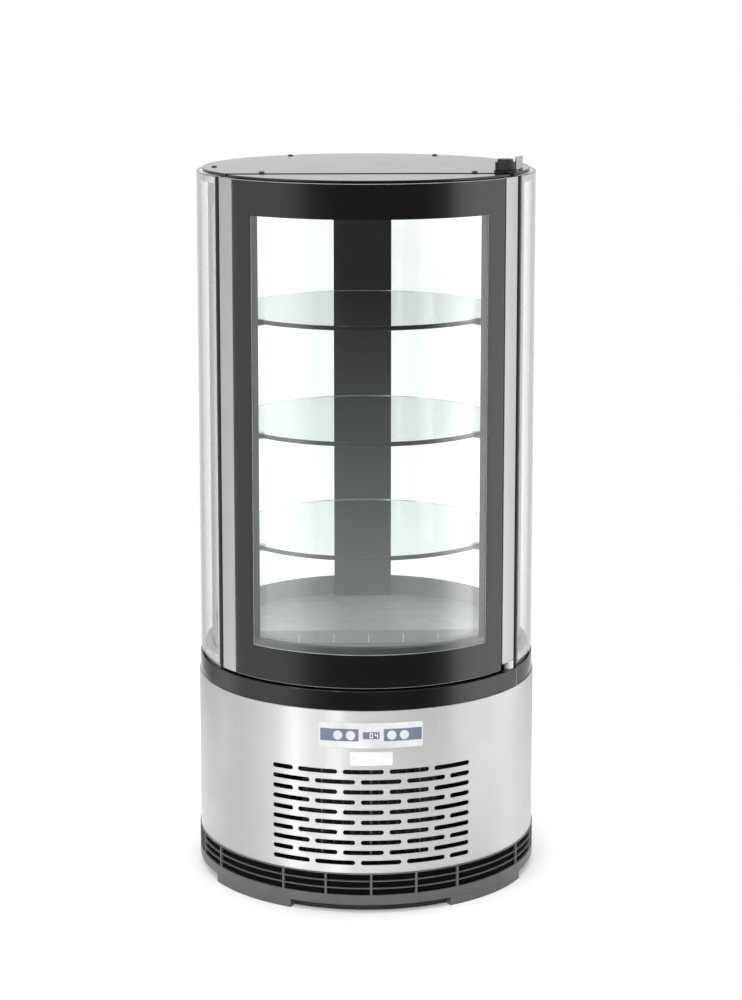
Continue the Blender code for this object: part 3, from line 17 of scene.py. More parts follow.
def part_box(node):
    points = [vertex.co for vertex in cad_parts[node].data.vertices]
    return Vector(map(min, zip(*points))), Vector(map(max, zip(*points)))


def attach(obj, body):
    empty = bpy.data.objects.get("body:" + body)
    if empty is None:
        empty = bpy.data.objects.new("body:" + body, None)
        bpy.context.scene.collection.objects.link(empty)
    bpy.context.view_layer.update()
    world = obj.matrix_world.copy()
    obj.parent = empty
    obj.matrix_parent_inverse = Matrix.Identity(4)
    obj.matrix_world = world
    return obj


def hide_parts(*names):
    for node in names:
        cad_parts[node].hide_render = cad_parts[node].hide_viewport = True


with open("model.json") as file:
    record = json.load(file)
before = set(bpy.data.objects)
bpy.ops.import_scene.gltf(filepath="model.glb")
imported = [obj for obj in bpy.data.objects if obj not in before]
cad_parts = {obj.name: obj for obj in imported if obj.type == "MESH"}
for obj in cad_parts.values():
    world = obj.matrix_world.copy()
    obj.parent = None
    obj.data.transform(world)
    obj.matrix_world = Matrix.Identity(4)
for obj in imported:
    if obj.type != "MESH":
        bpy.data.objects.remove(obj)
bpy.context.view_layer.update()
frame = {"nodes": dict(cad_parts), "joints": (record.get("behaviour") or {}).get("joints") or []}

# %% [markdown]
# ## Sizes that many pieces share
#
# A round cabinet is a stack of rings. The glass, the rim and the base each step in or out by a
# millimetre or two, so the radii are kept in one place and every ring is drawn from them.

# %% Shared radii, heights and angles
BASE_RADIUS = 0.2310
PLINTH_RADIUS = 0.23249
RIM_RADIUS = 0.2290
GLASS_RADIUS = 0.2280
PANE_BACK = 0.2235
SPACER_FRONT = 0.2232
SPACER_BACK = 0.2133
INNER_PANE_FRONT = 0.2130
INNER_PANE_BACK = 0.2090
CHAMBER_RADIUS = 0.2087
SHELF_RADIUS = 0.1820
FLOOR_TO_PLINTH_TOP = 0.0545
SEAT_GAP = 0.0003
SHELL_BOTTOM, SHELL_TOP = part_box("base_shell")[0].z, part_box("base_shell")[1].z
RIM_BOTTOM, RIM_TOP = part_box("base_rim")[0].z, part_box("base_rim")[1].z
DOOR_BOTTOM, DOOR_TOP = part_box("door_glass_outer")[0].z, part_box("door_glass_outer")[1].z
PANEL_HEIGHT = (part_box("control_fascia")[0].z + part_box("control_fascia")[1].z) / 2
DOOR_BACK = -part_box("door_frame")[1].y
HINGE = Vector(next(joint["pos_m"] for joint in frame["joints"] if joint["name"] == "door_hinge"))
print("door from", round(DOOR_BOTTOM, 4), "to", round(DOOR_TOP, 4))
print("hinge at", [round(value, 4) for value in HINGE])

# %% [markdown]
# ## Drawing helpers for round sheet work
#
# A curved pane, a grille and a window frame are the same thing: a curved wall with some of its cells
# left open. Building the wall cell by cell gives clean four-sided faces, which shade smoothly under
# studio light. A Boolean would also work, but it leaves long thin faces where reflections wobble.

# %% Points, arcs and curved walls
STEP = 1.5


def on_circle(radius, angle):
    """A point in plan; the angle runs from the front towards +X, in degrees."""
    turn = math.radians(angle)
    return (radius * math.sin(turn), -radius * math.cos(turn))


def spread(start, end, marks=(), step=STEP):
    """Angles from start to end, a small step apart, that also hit every mark."""
    stops = sorted({start, end, *[mark for mark in marks if start < mark < end]})
    angles = [start]
    for low, high in zip(stops, stops[1:]):
        count = max(1, math.ceil((high - low) / step - 1e-6))
        angles += [low + (high - low) * index / count for index in range(1, count + 1)]
    return angles


def curved_wall(inner, outer, angles, heights, windows=(), ring=False, shape=None):
    """A curved wall made of cells. A window is (first angle, last angle, low, high)."""
    shape = shape or bmesh.new()
    columns = len(angles) if ring else len(angles) - 1
    corners = {}

    def corner(column, row, radius):
        key = (column % len(angles), row, radius)
        if key not in corners:
            corners[key] = shape.verts.new((*on_circle(radius, angles[key[0]]), heights[row]))
        return corners[key]

    def is_open(column, row):
        after = angles[(column + 1) % len(angles)]
        after = after + 360 if after <= angles[column] else after
        middle = (angles[column] + after) / 2
        level = (heights[row] + heights[row + 1]) / 2
        return any(a < middle < b and low < level < high for a, b, low, high in windows)

    cells = {(c, r) for c in range(columns) for r in range(len(heights) - 1) if not is_open(c, r)}
    for c, r in sorted(cells):
        n = c + 1
        shape.faces.new([corner(c, r, outer), corner(n, r, outer),
                         corner(n, r + 1, outer), corner(c, r + 1, outer)])
        shape.faces.new([corner(c, r + 1, inner), corner(n, r + 1, inner),
                         corner(n, r, inner), corner(c, r, inner)])
        left = (c - 1) % columns if ring else c - 1
        right = (c + 1) % columns if ring else c + 1
        sides = (((left, r), (c, r + 1), (c, r)), ((right, r), (n, r), (n, r + 1)),
                 ((c, r - 1), (c, r), (n, r)), ((c, r + 1), (n, r + 1), (c, r + 1)))
        for neighbour, first, second in sides:
            if neighbour not in cells:
                shape.faces.new([corner(*first, outer), corner(*first, inner),
                                 corner(*second, inner), corner(*second, outer)])
    return shape


print("a full ring has", len(spread(0, 360)) - 1, "columns")

# %% [markdown]
# ## Turning, extruding and finishing
#
# Screws, knobs and rings are turned: a profile goes round an axis. Flat pieces are extruded from an
# outline. Real edges are never razor sharp, so each piece gets a narrow bevel that catches the light.

# %% Turned and extruded shapes
def turned(profile, steps, place=None):
    """Spin (radius, height) points round Z. A profile that misses the axis closes on itself."""
    shape = bmesh.new()
    line = [shape.verts.new((radius, 0, height)) for radius, height in profile]
    touches_axis = any(radius == 0 for radius, height in profile)
    ends = line[1:] if touches_axis else line[1:] + line[:1]
    edges = [shape.edges.new(pair) for pair in zip(line, ends)]
    bmesh.ops.spin(shape, geom=line + edges, axis=(0, 0, 1), angle=2 * math.pi, steps=steps)
    bmesh.ops.remove_doubles(shape, verts=shape.verts[:], dist=1e-6)
    if place:
        bmesh.ops.transform(shape, matrix=place, verts=shape.verts[:])
    return shape


def extruded(outline, low, high, place=None, shape=None):
    """Raise a flat outline from low to high."""
    shape = shape or bmesh.new()
    base = [shape.verts.new((x, y, low)) for x, y in outline]
    face = shape.faces.new(base)
    raised = bmesh.ops.extrude_face_region(shape, geom=[face])["geom"]
    top = [item for item in raised if isinstance(item, bmesh.types.BMVert)]
    bmesh.ops.translate(shape, verts=top, vec=(0, 0, high - low))
    if place:
        bmesh.ops.transform(shape, matrix=place, verts=base + top)
    return shape


def skinned(loops):
    """Skin loops of equal length into a closed tube whose last loop meets its first."""
    shape = bmesh.new()
    rings = [[shape.verts.new(point) for point in loop] for loop in loops]
    for lower, upper in zip(rings, rings[1:] + rings[:1]):
        for index in range(len(lower)):
            after = (index + 1) % len(lower)
            shape.faces.new((lower[index], lower[after], upper[after], upper[index]))
    return shape


def outward(angle, height=0.0):
    """Local x runs round the case, y runs up and z runs outward."""
    turn = math.radians(angle)
    return Matrix(((math.cos(turn), 0, math.sin(turn), 0), (math.sin(turn), 0, -math.cos(turn), 0),
                   (0, 1, 0, height), (0, 0, 0, 1)))


def arc_points(radius, start, end):
    """Points in plan along one arc."""
    return [on_circle(radius, angle) for angle in spread(start, end)]


def round_corners(width, height, corner, steps=6):
    """A rectangle with round corners, centred on the origin."""
    points = []
    for index, (side_x, side_y) in enumerate(((1, -1), (1, 1), (-1, 1), (-1, -1))):
        for step in range(steps + 1):
            turn = math.pi / 2 * (index - 1 + step / steps)
            points.append((side_x * (width / 2 - corner) + corner * math.cos(turn),
                           side_y * (height / 2 - corner) + corner * math.sin(turn)))
    return points


def disc_points(radius, x=0.0, y=0.0, steps=24):
    """Points of a full circle in plan."""
    turns = [2 * math.pi * step / steps for step in range(steps)]
    return [(x + radius * math.cos(turn), y + radius * math.sin(turn)) for turn in turns]


# %% [markdown]
# ## Finishing a piece
#
# A bevel modifier rounds every edge by the same small width, which is quicker than modelling the
# rounding by hand. Its normals are hardened, so that a big flat face stays flat in a reflection.
# Each piece then rides on the body that it belongs to.

# %% Finishing a piece: smooth faces, narrow bevels, its body and its node
def add_bevel(piece, width, finish=-1):
    """Round the edges; finish is the number of the material that the rounding takes."""
    bevel = piece.modifiers.new("eased edges", "BEVEL")
    bevel.material = finish
    bevel.width = width
    bevel.segments = 2
    bevel.limit_method = "ANGLE"
    bevel.angle_limit = math.radians(40)
    bevel.harden_normals = True


def piece_from(name, shape, material, sharp=30):
    """Turn a shape into an object; edges sharper than the given angle stay crisp."""
    bmesh.ops.recalc_face_normals(shape, faces=shape.faces[:])
    mesh = bpy.data.meshes.new(name)
    shape.to_mesh(mesh)
    shape.free()
    mesh.shade_smooth()
    mesh.set_sharp_from_angle(angle=math.radians(sharp))
    mesh.materials.append(material)
    piece = bpy.data.objects.new(name, mesh)
    bpy.context.scene.collection.objects.link(piece)
    return piece


def carve(piece, shape, operation="DIFFERENCE"):
    """Apply a Boolean at once, so that no helper object is left behind."""
    tool = piece_from(piece.name + "_tool", shape, piece.data.materials[0])
    boolean = piece.modifiers.new("carve", "BOOLEAN")
    boolean.operation = operation
    boolean.object = tool
    boolean.solver = "EXACT"
    bpy.context.view_layer.update()
    result = piece.evaluated_get(bpy.context.evaluated_depsgraph_get())
    mesh = bpy.data.meshes.new_from_object(result)
    piece.modifiers.clear()
    piece.data = mesh
    mesh.shade_smooth()
    mesh.set_sharp_from_angle(angle=math.radians(30))
    bpy.data.objects.remove(tool)
    return piece


def fit(piece, body, slot, *nodes, bevel=0.0):
    """Seat a finished piece on its body and let it stand for its CAD nodes."""
    if bevel:
        add_bevel(piece, bevel)
    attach(piece, body)
    if nodes:
        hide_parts(*nodes)
    print(f"{piece.name}: {len(piece.data.polygons)} faces on {body}")
    return piece


def dress(material, *nodes):
    """Give CAD nodes that keep their own shape a finish."""
    for node in nodes:
        mesh = frame["nodes"][node].data
        mesh.materials.clear()
        mesh.materials.append(material)
    print(material.name, "on", ", ".join(nodes))


# %% [markdown]
# ## Node groups that several finishes share
#
# Brushed metal, moulded plastic and glass all carry small faults: grain, handling marks, dust and
# polished edges. Each fault is a node group with its own sockets, so that every finish can use it
# at its own strength.

# %% A small kit for wiring nodes
def new_group(name, inputs, outputs):
    """Make a shader group with (socket type, name, default) inputs and (socket type, name) outputs."""
    group = bpy.data.node_groups.new(name, "ShaderNodeTree")
    for kind, label, default in inputs:
        socket = group.interface.new_socket(label, in_out="INPUT", socket_type=kind)
        if default is not None:
            socket.default_value = default
    for kind, label in outputs:
        group.interface.new_socket(label, in_out="OUTPUT", socket_type=kind)
    return group, group.nodes.new("NodeGroupInput"), group.nodes.new("NodeGroupOutput")


def put(tree, kind, **settings):
    """Add a node and set its properties."""
    node = tree.nodes.new(kind)
    for key, value in settings.items():
        setattr(node, key, value)
    return node


def wire(tree, start, end):
    tree.links.new(start, end)


def sum_up(tree, operation, *values):
    """A Math node fed with numbers or sockets."""
    node = tree.nodes.new("ShaderNodeMath")
    node.operation = operation
    for socket, value in zip(node.inputs, values):
        if isinstance(value, (int, float)):
            socket.default_value = value
        else:
            tree.links.new(value, socket)
    return node.outputs[0]


def noise(tree, vector, scale, detail=3.0, roughness=0.5):
    node = tree.nodes.new("ShaderNodeTexNoise")
    node.inputs["Detail"].default_value = detail
    node.inputs["Roughness"].default_value = roughness
    if isinstance(scale, (int, float)):
        node.inputs["Scale"].default_value = scale
    else:
        tree.links.new(scale, node.inputs["Scale"])
    tree.links.new(vector, node.inputs["Vector"])
    return node.outputs["Fac"]


def between(tree, value, low, high, to_low=0.0, to_high=1.0):
    node = tree.nodes.new("ShaderNodeMapRange")
    tree.links.new(value, node.inputs["Value"])
    for label, number in (("From Min", low), ("From Max", high), ("To Min", to_low), ("To Max", to_high)):
        if isinstance(number, (int, float)):
            node.inputs[label].default_value = number
        else:
            tree.links.new(number, node.inputs[label])
    return node.outputs["Result"]


# %% [markdown]
# ## Brushed grain
#
# Brushing leaves fine scratches that all run one way. A noise that is squeezed across the scratches
# and stretched along them looks the same, and one group serves steel and aluminium.

# %% Brushed grain: long fine scratches along one direction
def make_brushed_grain():
    group, source, result = new_group("brushed grain", [
        ("NodeSocketVector", "Vector", None), ("NodeSocketVector", "Stretch", (1.0, 1.0, 1.0)),
    ], [("NodeSocketFloat", "Height"), ("NodeSocketFloat", "Sheen Change")])
    stretch = put(group, "ShaderNodeVectorMath", operation="MULTIPLY")
    wire(group, source.outputs["Vector"], stretch.inputs[0])
    wire(group, source.outputs["Stretch"], stretch.inputs[1])
    fine = noise(group, stretch.outputs[0], 1.0, detail=4.0, roughness=0.65)
    broad = noise(group, stretch.outputs[0], 0.12, detail=2.0)
    wire(group, fine, result.inputs["Height"])
    change = sum_up(group, "SUBTRACT", sum_up(group, "ADD", fine, broad), 1.0)
    wire(group, change, result.inputs["Sheen Change"])
    return group


# %% [markdown]
# ## Round coordinates
#
# The shell was brushed flat and rolled afterwards. Turning each point into a length round the case
# and a height rolls the texture in the same way, without unwrapping the mesh.

# %% Round coordinates: the same grain, but wrapped round the case
def make_round_coordinates():
    group, source, result = new_group("round coordinates", [
        ("NodeSocketVector", "Vector", None), ("NodeSocketFloat", "Radius", 0.23),
    ], [("NodeSocketVector", "Vector")])
    split = put(group, "ShaderNodeSeparateXYZ")
    wire(group, source.outputs["Vector"], split.inputs[0])
    away = sum_up(group, "MULTIPLY", split.outputs["Y"], -1.0)
    turn = sum_up(group, "ARCTAN2", split.outputs["X"], away)
    join = put(group, "ShaderNodeCombineXYZ")
    wire(group, sum_up(group, "MULTIPLY", turn, source.outputs["Radius"]), join.inputs["X"])
    wire(group, split.outputs["Z"], join.inputs["Z"])
    wire(group, join.outputs[0], result.inputs["Vector"])
    return group


# %% [markdown]
# ## Handling marks
#
# Wiped surfaces keep faint patches that are a little duller. They hardly change the colour, so the
# group gives a change of roughness and a mask.

# %% Handling marks: soft patches where hands and cloths have been
def make_handling_marks():
    group, source, result = new_group("handling marks", [
        ("NodeSocketVector", "Vector", None), ("NodeSocketFloat", "Scale", 14.0),
        ("NodeSocketFloat", "Amount", 0.1),
    ], [("NodeSocketFloat", "Roughness Change"), ("NodeSocketFloat", "Mask")])
    patches = noise(group, source.outputs["Vector"], source.outputs["Scale"], detail=5.0, roughness=0.6)
    mask = between(group, patches, 0.42, 0.72)
    change = sum_up(group, "MULTIPLY", mask, source.outputs["Amount"])
    wire(group, change, result.inputs["Roughness Change"])
    wire(group, mask, result.inputs["Mask"])
    return group


# %% [markdown]
# ## Fine dust
#
# Dust settles on what looks up. The surface's own normal tells how much, and two noises give the
# specks and the film between them.

# %% Fine dust: specks and a thin film, thicker on faces that look up
def make_fine_dust():
    group, source, result = new_group("fine dust", [
        ("NodeSocketVector", "Vector", None), ("NodeSocketFloat", "Amount", 0.05),
        ("NodeSocketFloat", "Speck Scale", 900.0),
    ], [("NodeSocketFloat", "Mask")])
    normal = put(group, "ShaderNodeNewGeometry")
    split = put(group, "ShaderNodeSeparateXYZ")
    wire(group, normal.outputs["Normal"], split.inputs[0])
    up = between(group, split.outputs["Z"], 0.0, 1.0, 0.25, 1.0)
    grains = noise(group, source.outputs["Vector"], source.outputs["Speck Scale"], 2.0)
    specks = between(group, grains, 0.55, 0.75)
    film = noise(group, source.outputs["Vector"], 9.0, 4.0)
    both = sum_up(group, "ADD", sum_up(group, "MULTIPLY", specks, 0.5),
                  sum_up(group, "MULTIPLY", film, 0.5))
    share = sum_up(group, "MULTIPLY", sum_up(group, "MULTIPLY", both, up), source.outputs["Amount"])
    wire(group, share, result.inputs["Mask"])
    return group


# %% [markdown]
# ## Moulded grain
#
# Injection moulds are etched, so their parts come out with a fine even texture. It is too fine to
# model, and a small bump is enough to break up the gloss.

# %% Moulded grain: the fine leathery texture of injection moulding
def make_moulded_grain():
    group, source, result = new_group("moulded grain", [
        ("NodeSocketVector", "Vector", None), ("NodeSocketFloat", "Scale", 1800.0),
    ], [("NodeSocketFloat", "Height"), ("NodeSocketFloat", "Tone")])
    fine = noise(group, source.outputs["Vector"], source.outputs["Scale"], detail=2.0, roughness=0.6)
    broad = noise(group, source.outputs["Vector"], 40.0, detail=3.0)
    wire(group, fine, result.inputs["Height"])
    wire(group, between(group, broad, 0.3, 0.7, 0.9, 1.1), result.inputs["Tone"])
    return group


# %% [markdown]
# ## Painted glow
#
# The door's inner pane is given a faint glow that is strongest low down. It is painted light: an emission
# that stands in for the light that the pane reflects. The group only gives the mask.

# %% Painted glow that grows downwards
def make_painted_glow():
    group, source, result = new_group("painted pane glow", [
        ("NodeSocketVector", "Vector", None), ("NodeSocketFloat", "Low", 0.3),
        ("NodeSocketFloat", "High", 0.9),
    ], [("NodeSocketFloat", "Mask")])
    split = put(group, "ShaderNodeSeparateXYZ")
    wire(group, source.outputs["Vector"], split.inputs[0])
    depth = between(group, split.outputs["Z"], source.outputs["High"], source.outputs["Low"])
    downward_glow = sum_up(group, "POWER", depth, 1.5)
    patches = between(group, noise(group, source.outputs["Vector"], 7.0, 2.0), 0.3, 0.7, 0.94, 1.06)
    wire(group, sum_up(group, "MULTIPLY", downward_glow, patches), result.inputs["Mask"])
    return group


GRAIN = make_brushed_grain()
ROUND = make_round_coordinates()
MARKS = make_handling_marks()
DUST = make_fine_dust()
MOULDED = make_moulded_grain()
PAINTED_GLOW = make_painted_glow()
print("node groups:", ", ".join(group.name for group in bpy.data.node_groups))

# %% [markdown]
# ## Starting a finish
#
# Every finish starts from one Principled shader. Values that are the same all over the piece are set
# on its sockets, and only what changes over the surface is wired in.

# %% Helpers that start a finish
def start_finish(name, colour, roughness, metallic=0.0, **constants):
    """A material whose shader has its even values set, and the object coordinates to build on."""
    material = bpy.data.materials.new(name)
    material.use_nodes = True
    tree = material.node_tree
    shader = tree.nodes["Principled BSDF"]
    shader.inputs["Base Color"].default_value = (*colour, 1.0)
    shader.inputs["Roughness"].default_value = roughness
    shader.inputs["Metallic"].default_value = metallic
    for label, value in constants.items():
        shader.inputs[label.replace("_", " ")].default_value = value
    where = put(tree, "ShaderNodeTexCoord").outputs["Object"]
    return material, tree, shader, where


def place_group(tree, group, where, **values):
    """Use a shared node group in a finish, at this finish's own strength."""
    node = tree.nodes.new("ShaderNodeGroup")
    node.node_tree = group
    wire(tree, where, node.inputs["Vector"])
    for label, value in values.items():
        node.inputs[label.replace("_", " ")].default_value = value
    return node


def shift_roughness(tree, shader, base, *changes):
    """Wire the roughness to its even value plus every change."""
    total = base
    for change in changes:
        total = sum_up(tree, "ADD", total, change)
    wire(tree, total, shader.inputs["Roughness"])


def blend_colours(tree, mask, first, second):
    node = put(tree, "ShaderNodeMix", data_type="RGBA")
    wire(tree, mask, node.inputs["Factor"])
    for socket, colour in ((node.inputs["A"], first), (node.inputs["B"], second)):
        if isinstance(colour, tuple):
            socket.default_value = (*colour, 1.0)
        else:
            wire(tree, colour, socket)
    return node.outputs["Result"]


def add_bump(tree, shader, height, distance, strength=1.0):
    bump = put(tree, "ShaderNodeBump")
    bump.inputs["Strength"].default_value = strength
    bump.inputs["Distance"].default_value = distance
    wire(tree, height, bump.inputs["Height"])
    wire(tree, bump.outputs["Normal"], shader.inputs["Normal"])


# %% [markdown]
# ## Metals
#
# The base is rolled stainless sheet, brushed round its circumference. Such grain smears reflections
# up and down, which is why the photo shows tall vertical gleams. The door's stiles are anodised
# aluminium, drawn lengthwise, so their grain runs up.

# %% Brushed stainless, satin aluminium and machine-room metals
def brushed_stainless():
    material, tree, shader, where = start_finish(
        "brushed stainless", (0.72, 0.72, 0.71), 0.40, 1.0, Anisotropic=0.96, Anisotropic_Rotation=0.25)
    wrapped = place_group(tree, ROUND, where, Radius=BASE_RADIUS).outputs["Vector"]
    grain = place_group(tree, GRAIN, wrapped, Stretch=(14.0, 1.0, 5200.0))
    marks = place_group(tree, MARKS, where, Scale=9.0, Amount=0.05)
    change = sum_up(tree, "MULTIPLY", grain.outputs["Sheen Change"], 0.07)
    shift_roughness(tree, shader, 0.40, change, marks.outputs["Roughness Change"])
    tone = between(tree, grain.outputs["Height"], 0.3, 0.7)
    steel = blend_colours(tree, tone, (0.69, 0.69, 0.685), (0.75, 0.75, 0.745))
    wire(tree, steel, shader.inputs["Base Color"])
    tangent = put(tree, "ShaderNodeTangent", direction_type="RADIAL", axis="Z")
    wire(tree, tangent.outputs[0], shader.inputs["Tangent"])
    add_bump(tree, shader, grain.outputs["Height"], 0.00002, 0.35)
    return material


def satin_aluminium(name="satin aluminium", colour=(0.54, 0.54, 0.535), roughness=0.38):
    material, tree, shader, where = start_finish(name, colour, roughness, 1.0)
    grain = place_group(tree, GRAIN, where, Stretch=(3800.0, 3800.0, 9.0))
    marks = place_group(tree, MARKS, where, Scale=20.0, Amount=0.06)
    change = sum_up(tree, "MULTIPLY", grain.outputs["Sheen Change"], 0.08)
    shift_roughness(tree, shader, roughness, change, marks.outputs["Roughness Change"])
    add_bump(tree, shader, grain.outputs["Height"], 0.00002, 0.3)
    darker = tuple(0.93 * value for value in colour)
    wire(tree, blend_colours(tree, grain.outputs["Height"], darker, colour), shader.inputs["Base Color"])
    return material


def plain_metal(name, colour, roughness, spangle=0.0):
    """Sheet and tube inside the machine room: a little spangle and some handling marks."""
    material, tree, shader, where = start_finish(name, colour, roughness, 1.0)
    marks = place_group(tree, MARKS, where, Scale=30.0, Amount=0.18)
    shift_roughness(tree, shader, roughness, marks.outputs["Roughness Change"])
    darker = tuple(0.7 * value for value in colour)
    crystals = put(tree, "ShaderNodeTexVoronoi")
    crystals.inputs["Scale"].default_value = 160.0
    wire(tree, where, crystals.inputs["Vector"])
    flecks = between(tree, crystals.outputs["Distance"], 0.0, 0.6, 0.0, spangle)
    stain = sum_up(tree, "ADD", flecks, sum_up(tree, "MULTIPLY", marks.outputs["Mask"], 0.35))
    wire(tree, blend_colours(tree, stain, colour, darker), shader.inputs["Base Color"])
    return material


STAINLESS = brushed_stainless()
ALUMINIUM = satin_aluminium()
SPACER_METAL = satin_aluminium("spacer aluminium", (0.13, 0.15, 0.15), 0.45)
# The galvanised colour is kept far darker than zinc: painted shade for the machine room seen through the
# slots.
DARKENED_GALVANISED = plain_metal("galvanised sheet darkened for shade", (0.10, 0.105, 0.11), 0.50, 0.5)
COPPER = plain_metal("drawn copper", (0.70, 0.33, 0.20), 0.30, 0.1)
print("metals ready:", STAINLESS.name, ALUMINIUM.name, DARKENED_GALVANISED.name)

# %% [markdown]
# ## Black gloss, satin and moulded plastics
#
# The rim and the top plate are polished black. Their depth comes from the shader's own gloss: the
# colour is almost black and the room does the rest. The plinth and the liner are dull moulded
# plastic with a fine grain.

# %% Gloss black and moulded plastics
def gloss_black(name, colour=(0.006, 0.006, 0.0065), roughness=0.07, dust=0.02):
    material, tree, shader, where = start_finish(name, colour, roughness)
    marks = place_group(tree, MARKS, where, Scale=11.0, Amount=0.05)
    specks = place_group(tree, DUST, where, Amount=dust)
    shift_roughness(tree, shader, roughness, marks.outputs["Roughness Change"])
    dusted = blend_colours(tree, specks.outputs["Mask"], colour, (0.45, 0.44, 0.42))
    wire(tree, dusted, shader.inputs["Base Color"])
    waves = noise(tree, where, 22.0, 2.0)
    add_bump(tree, shader, waves, 0.00004, 0.25)
    return material


def moulded(name, colour, roughness, grain=0.00004, dust=0.03, scale=1800.0, **constants):
    material, tree, shader, where = start_finish(name, colour, roughness, **constants)
    texture = place_group(tree, MOULDED, where, Scale=scale)
    marks = place_group(tree, MARKS, where, Scale=18.0, Amount=0.10)
    specks = place_group(tree, DUST, where, Amount=dust)
    shift_roughness(tree, shader, roughness, marks.outputs["Roughness Change"])
    low = tuple(0.88 * value for value in colour)
    high = tuple(min(1.0, 1.12 * value) for value in colour)
    tone = between(tree, texture.outputs["Tone"], 0.9, 1.1)
    base = blend_colours(tree, tone, low, high)
    dusty = tuple(0.5 * value + 0.3 for value in colour)
    wire(tree, blend_colours(tree, specks.outputs["Mask"], base, dusty), shader.inputs["Base Color"])
    add_bump(tree, shader, texture.outputs["Height"], grain, 0.6)
    return material


GLOSS_BLACK = gloss_black("gloss black")
ENAMELLED_GLASS = gloss_black("enamelled glass", (0.0078, 0.0078, 0.0080), 0.02, 0.004)
SATIN_BLACK = moulded("satin black plastic", (0.018, 0.018, 0.019), 0.42)
PLINTH_GREY = moulded("plinth grey plastic", (0.100, 0.102, 0.105), 0.34, 0.00005)
LINER_GREY = moulded("liner grey plastic", (0.27, 0.285, 0.285), 0.48)
PANEL_WHITE = moulded("panel white", (0.81, 0.82, 0.82), 0.30, 0.00001, 0.01)
BADGE_WHITE = moulded("badge white", (0.93, 0.935, 0.935), 0.30, 0.00001, 0.0)
CEILING_WHITE = moulded("ceiling white", (0.72, 0.74, 0.73), 0.45, 0.00003, 0.01)
BAND_GREY = moulded("panel band print", (0.17, 0.22, 0.29), 0.40, 0.00001, 0.0)
RUBBER = moulded("black rubber", (0.012, 0.012, 0.012), 0.65, 0.00006)
FOAM = moulded("foam skin", (0.62, 0.60, 0.53), 0.8, 0.0002, 0.05, 500.0)
DECK_PAINT = moulded("deck grey paint", (0.54, 0.565, 0.56), 0.38, 0.00003, 0.02)
COLUMN_BLACK = moulded("column black", (0.006, 0.006, 0.0065), 0.50)
# Near-black with a weak gloss: painted shade for the dark inside behind the plinth grille.
SHADE_SHEET_BLACK = moulded("painted shade sheet", (0.004, 0.004, 0.004), 0.9, 0.0004, 0.0, 700.0,
                 Specular_IOR_Level=0.1)
GROUND_EDGE = moulded("ground glass edge", (0.36, 0.39, 0.38), 0.35, 0.00002, 0.0)
PALE_SPACER = moulded("pale edge spacer", (0.88, 0.89, 0.885), 0.40, 0.00002, 0.01)
BLACK_ENAMEL = moulded("black enamel", (0.012, 0.012, 0.013), 0.28, 0.00002, 0.06)
BOARD_GREEN = moulded("circuit board", (0.02, 0.14, 0.06), 0.45, 0.00003, 0.02, 700.0)
DIFFUSER = moulded("light diffuser", (0.85, 0.85, 0.83), 0.4, 0.00002, 0.01)
print("plastics and paints ready")

# %% [markdown]
# ## Glass
#
# Tempered float glass is clear from the front and green where you look along it. A slight green
# base colour gives both, because light that leaves through an edge has passed more glass. Shadow rays
# are let through with Alpha, so that the shelves inside are lit as real ones are. The door's inner
# pane also carries a faint painted glow, which stands in for reflected light.

# %% Clear glass
def clear_glass(name, tint):
    material, tree, shader, where = start_finish(
        name, tint, 0.0, 0.0, Transmission_Weight=1.0, IOR=1.5)
    marks = place_group(tree, MARKS, where, Scale=8.0, Amount=0.012)
    deeper = tuple(0.985 * value for value in tint)
    wire(tree, blend_colours(tree, marks.outputs["Mask"], tint, deeper), shader.inputs["Base Color"])
    path = put(tree, "ShaderNodeLightPath")
    through = sum_up(tree, "MULTIPLY", path.outputs["Is Shadow Ray"], 0.93)
    wire(tree, sum_up(tree, "SUBTRACT", 1.0, through), shader.inputs["Alpha"])
    return material, tree, shader, where


def glowing_pane_glass():
    """The inner pane gets a faint painted glow, strongest low down, that stands in for reflected light."""
    material, tree, shader, where = clear_glass("pane glass with painted glow", (0.985, 1.0, 0.995))
    pane_glow = place_group(tree, PAINTED_GLOW, where, Low=0.350, High=0.850)
    # Painted glow: an emission colour that grows downwards in place of reflected light.
    painted_glow = blend_colours(tree, pane_glow.outputs["Mask"], (0.0, 0.0, 0.0), (0.110, 0.118, 0.118))
    wire(tree, painted_glow, shader.inputs["Emission Color"])
    shader.inputs["Emission Strength"].default_value = 1.0
    return material, tree, shader, where


PANE_GLASS = clear_glass("pane glass", (0.985, 1.0, 0.995))[0]
SHELF_GLASS = clear_glass("shelf glass", (0.93, 0.99, 0.97))[0]
GLASS_EDGE = clear_glass("polished glass edge", (0.40, 0.52, 0.48))[0]
GLOWING_PANE_GLASS = glowing_pane_glass()[0]
print("glass ready")

# %% [markdown]
# ## Plinth
#
# The plinth is one moulding: a ring with three rows of air slots and four feet that are simply its
# lower edge left long. As a curved wall with open cells it takes one call, and the feet are four
# short curved walls below it. A near-black sheet behind the grille is painted shade for the dark
# inside, and between the feet dark bands are painted shadow for the floor under the case.

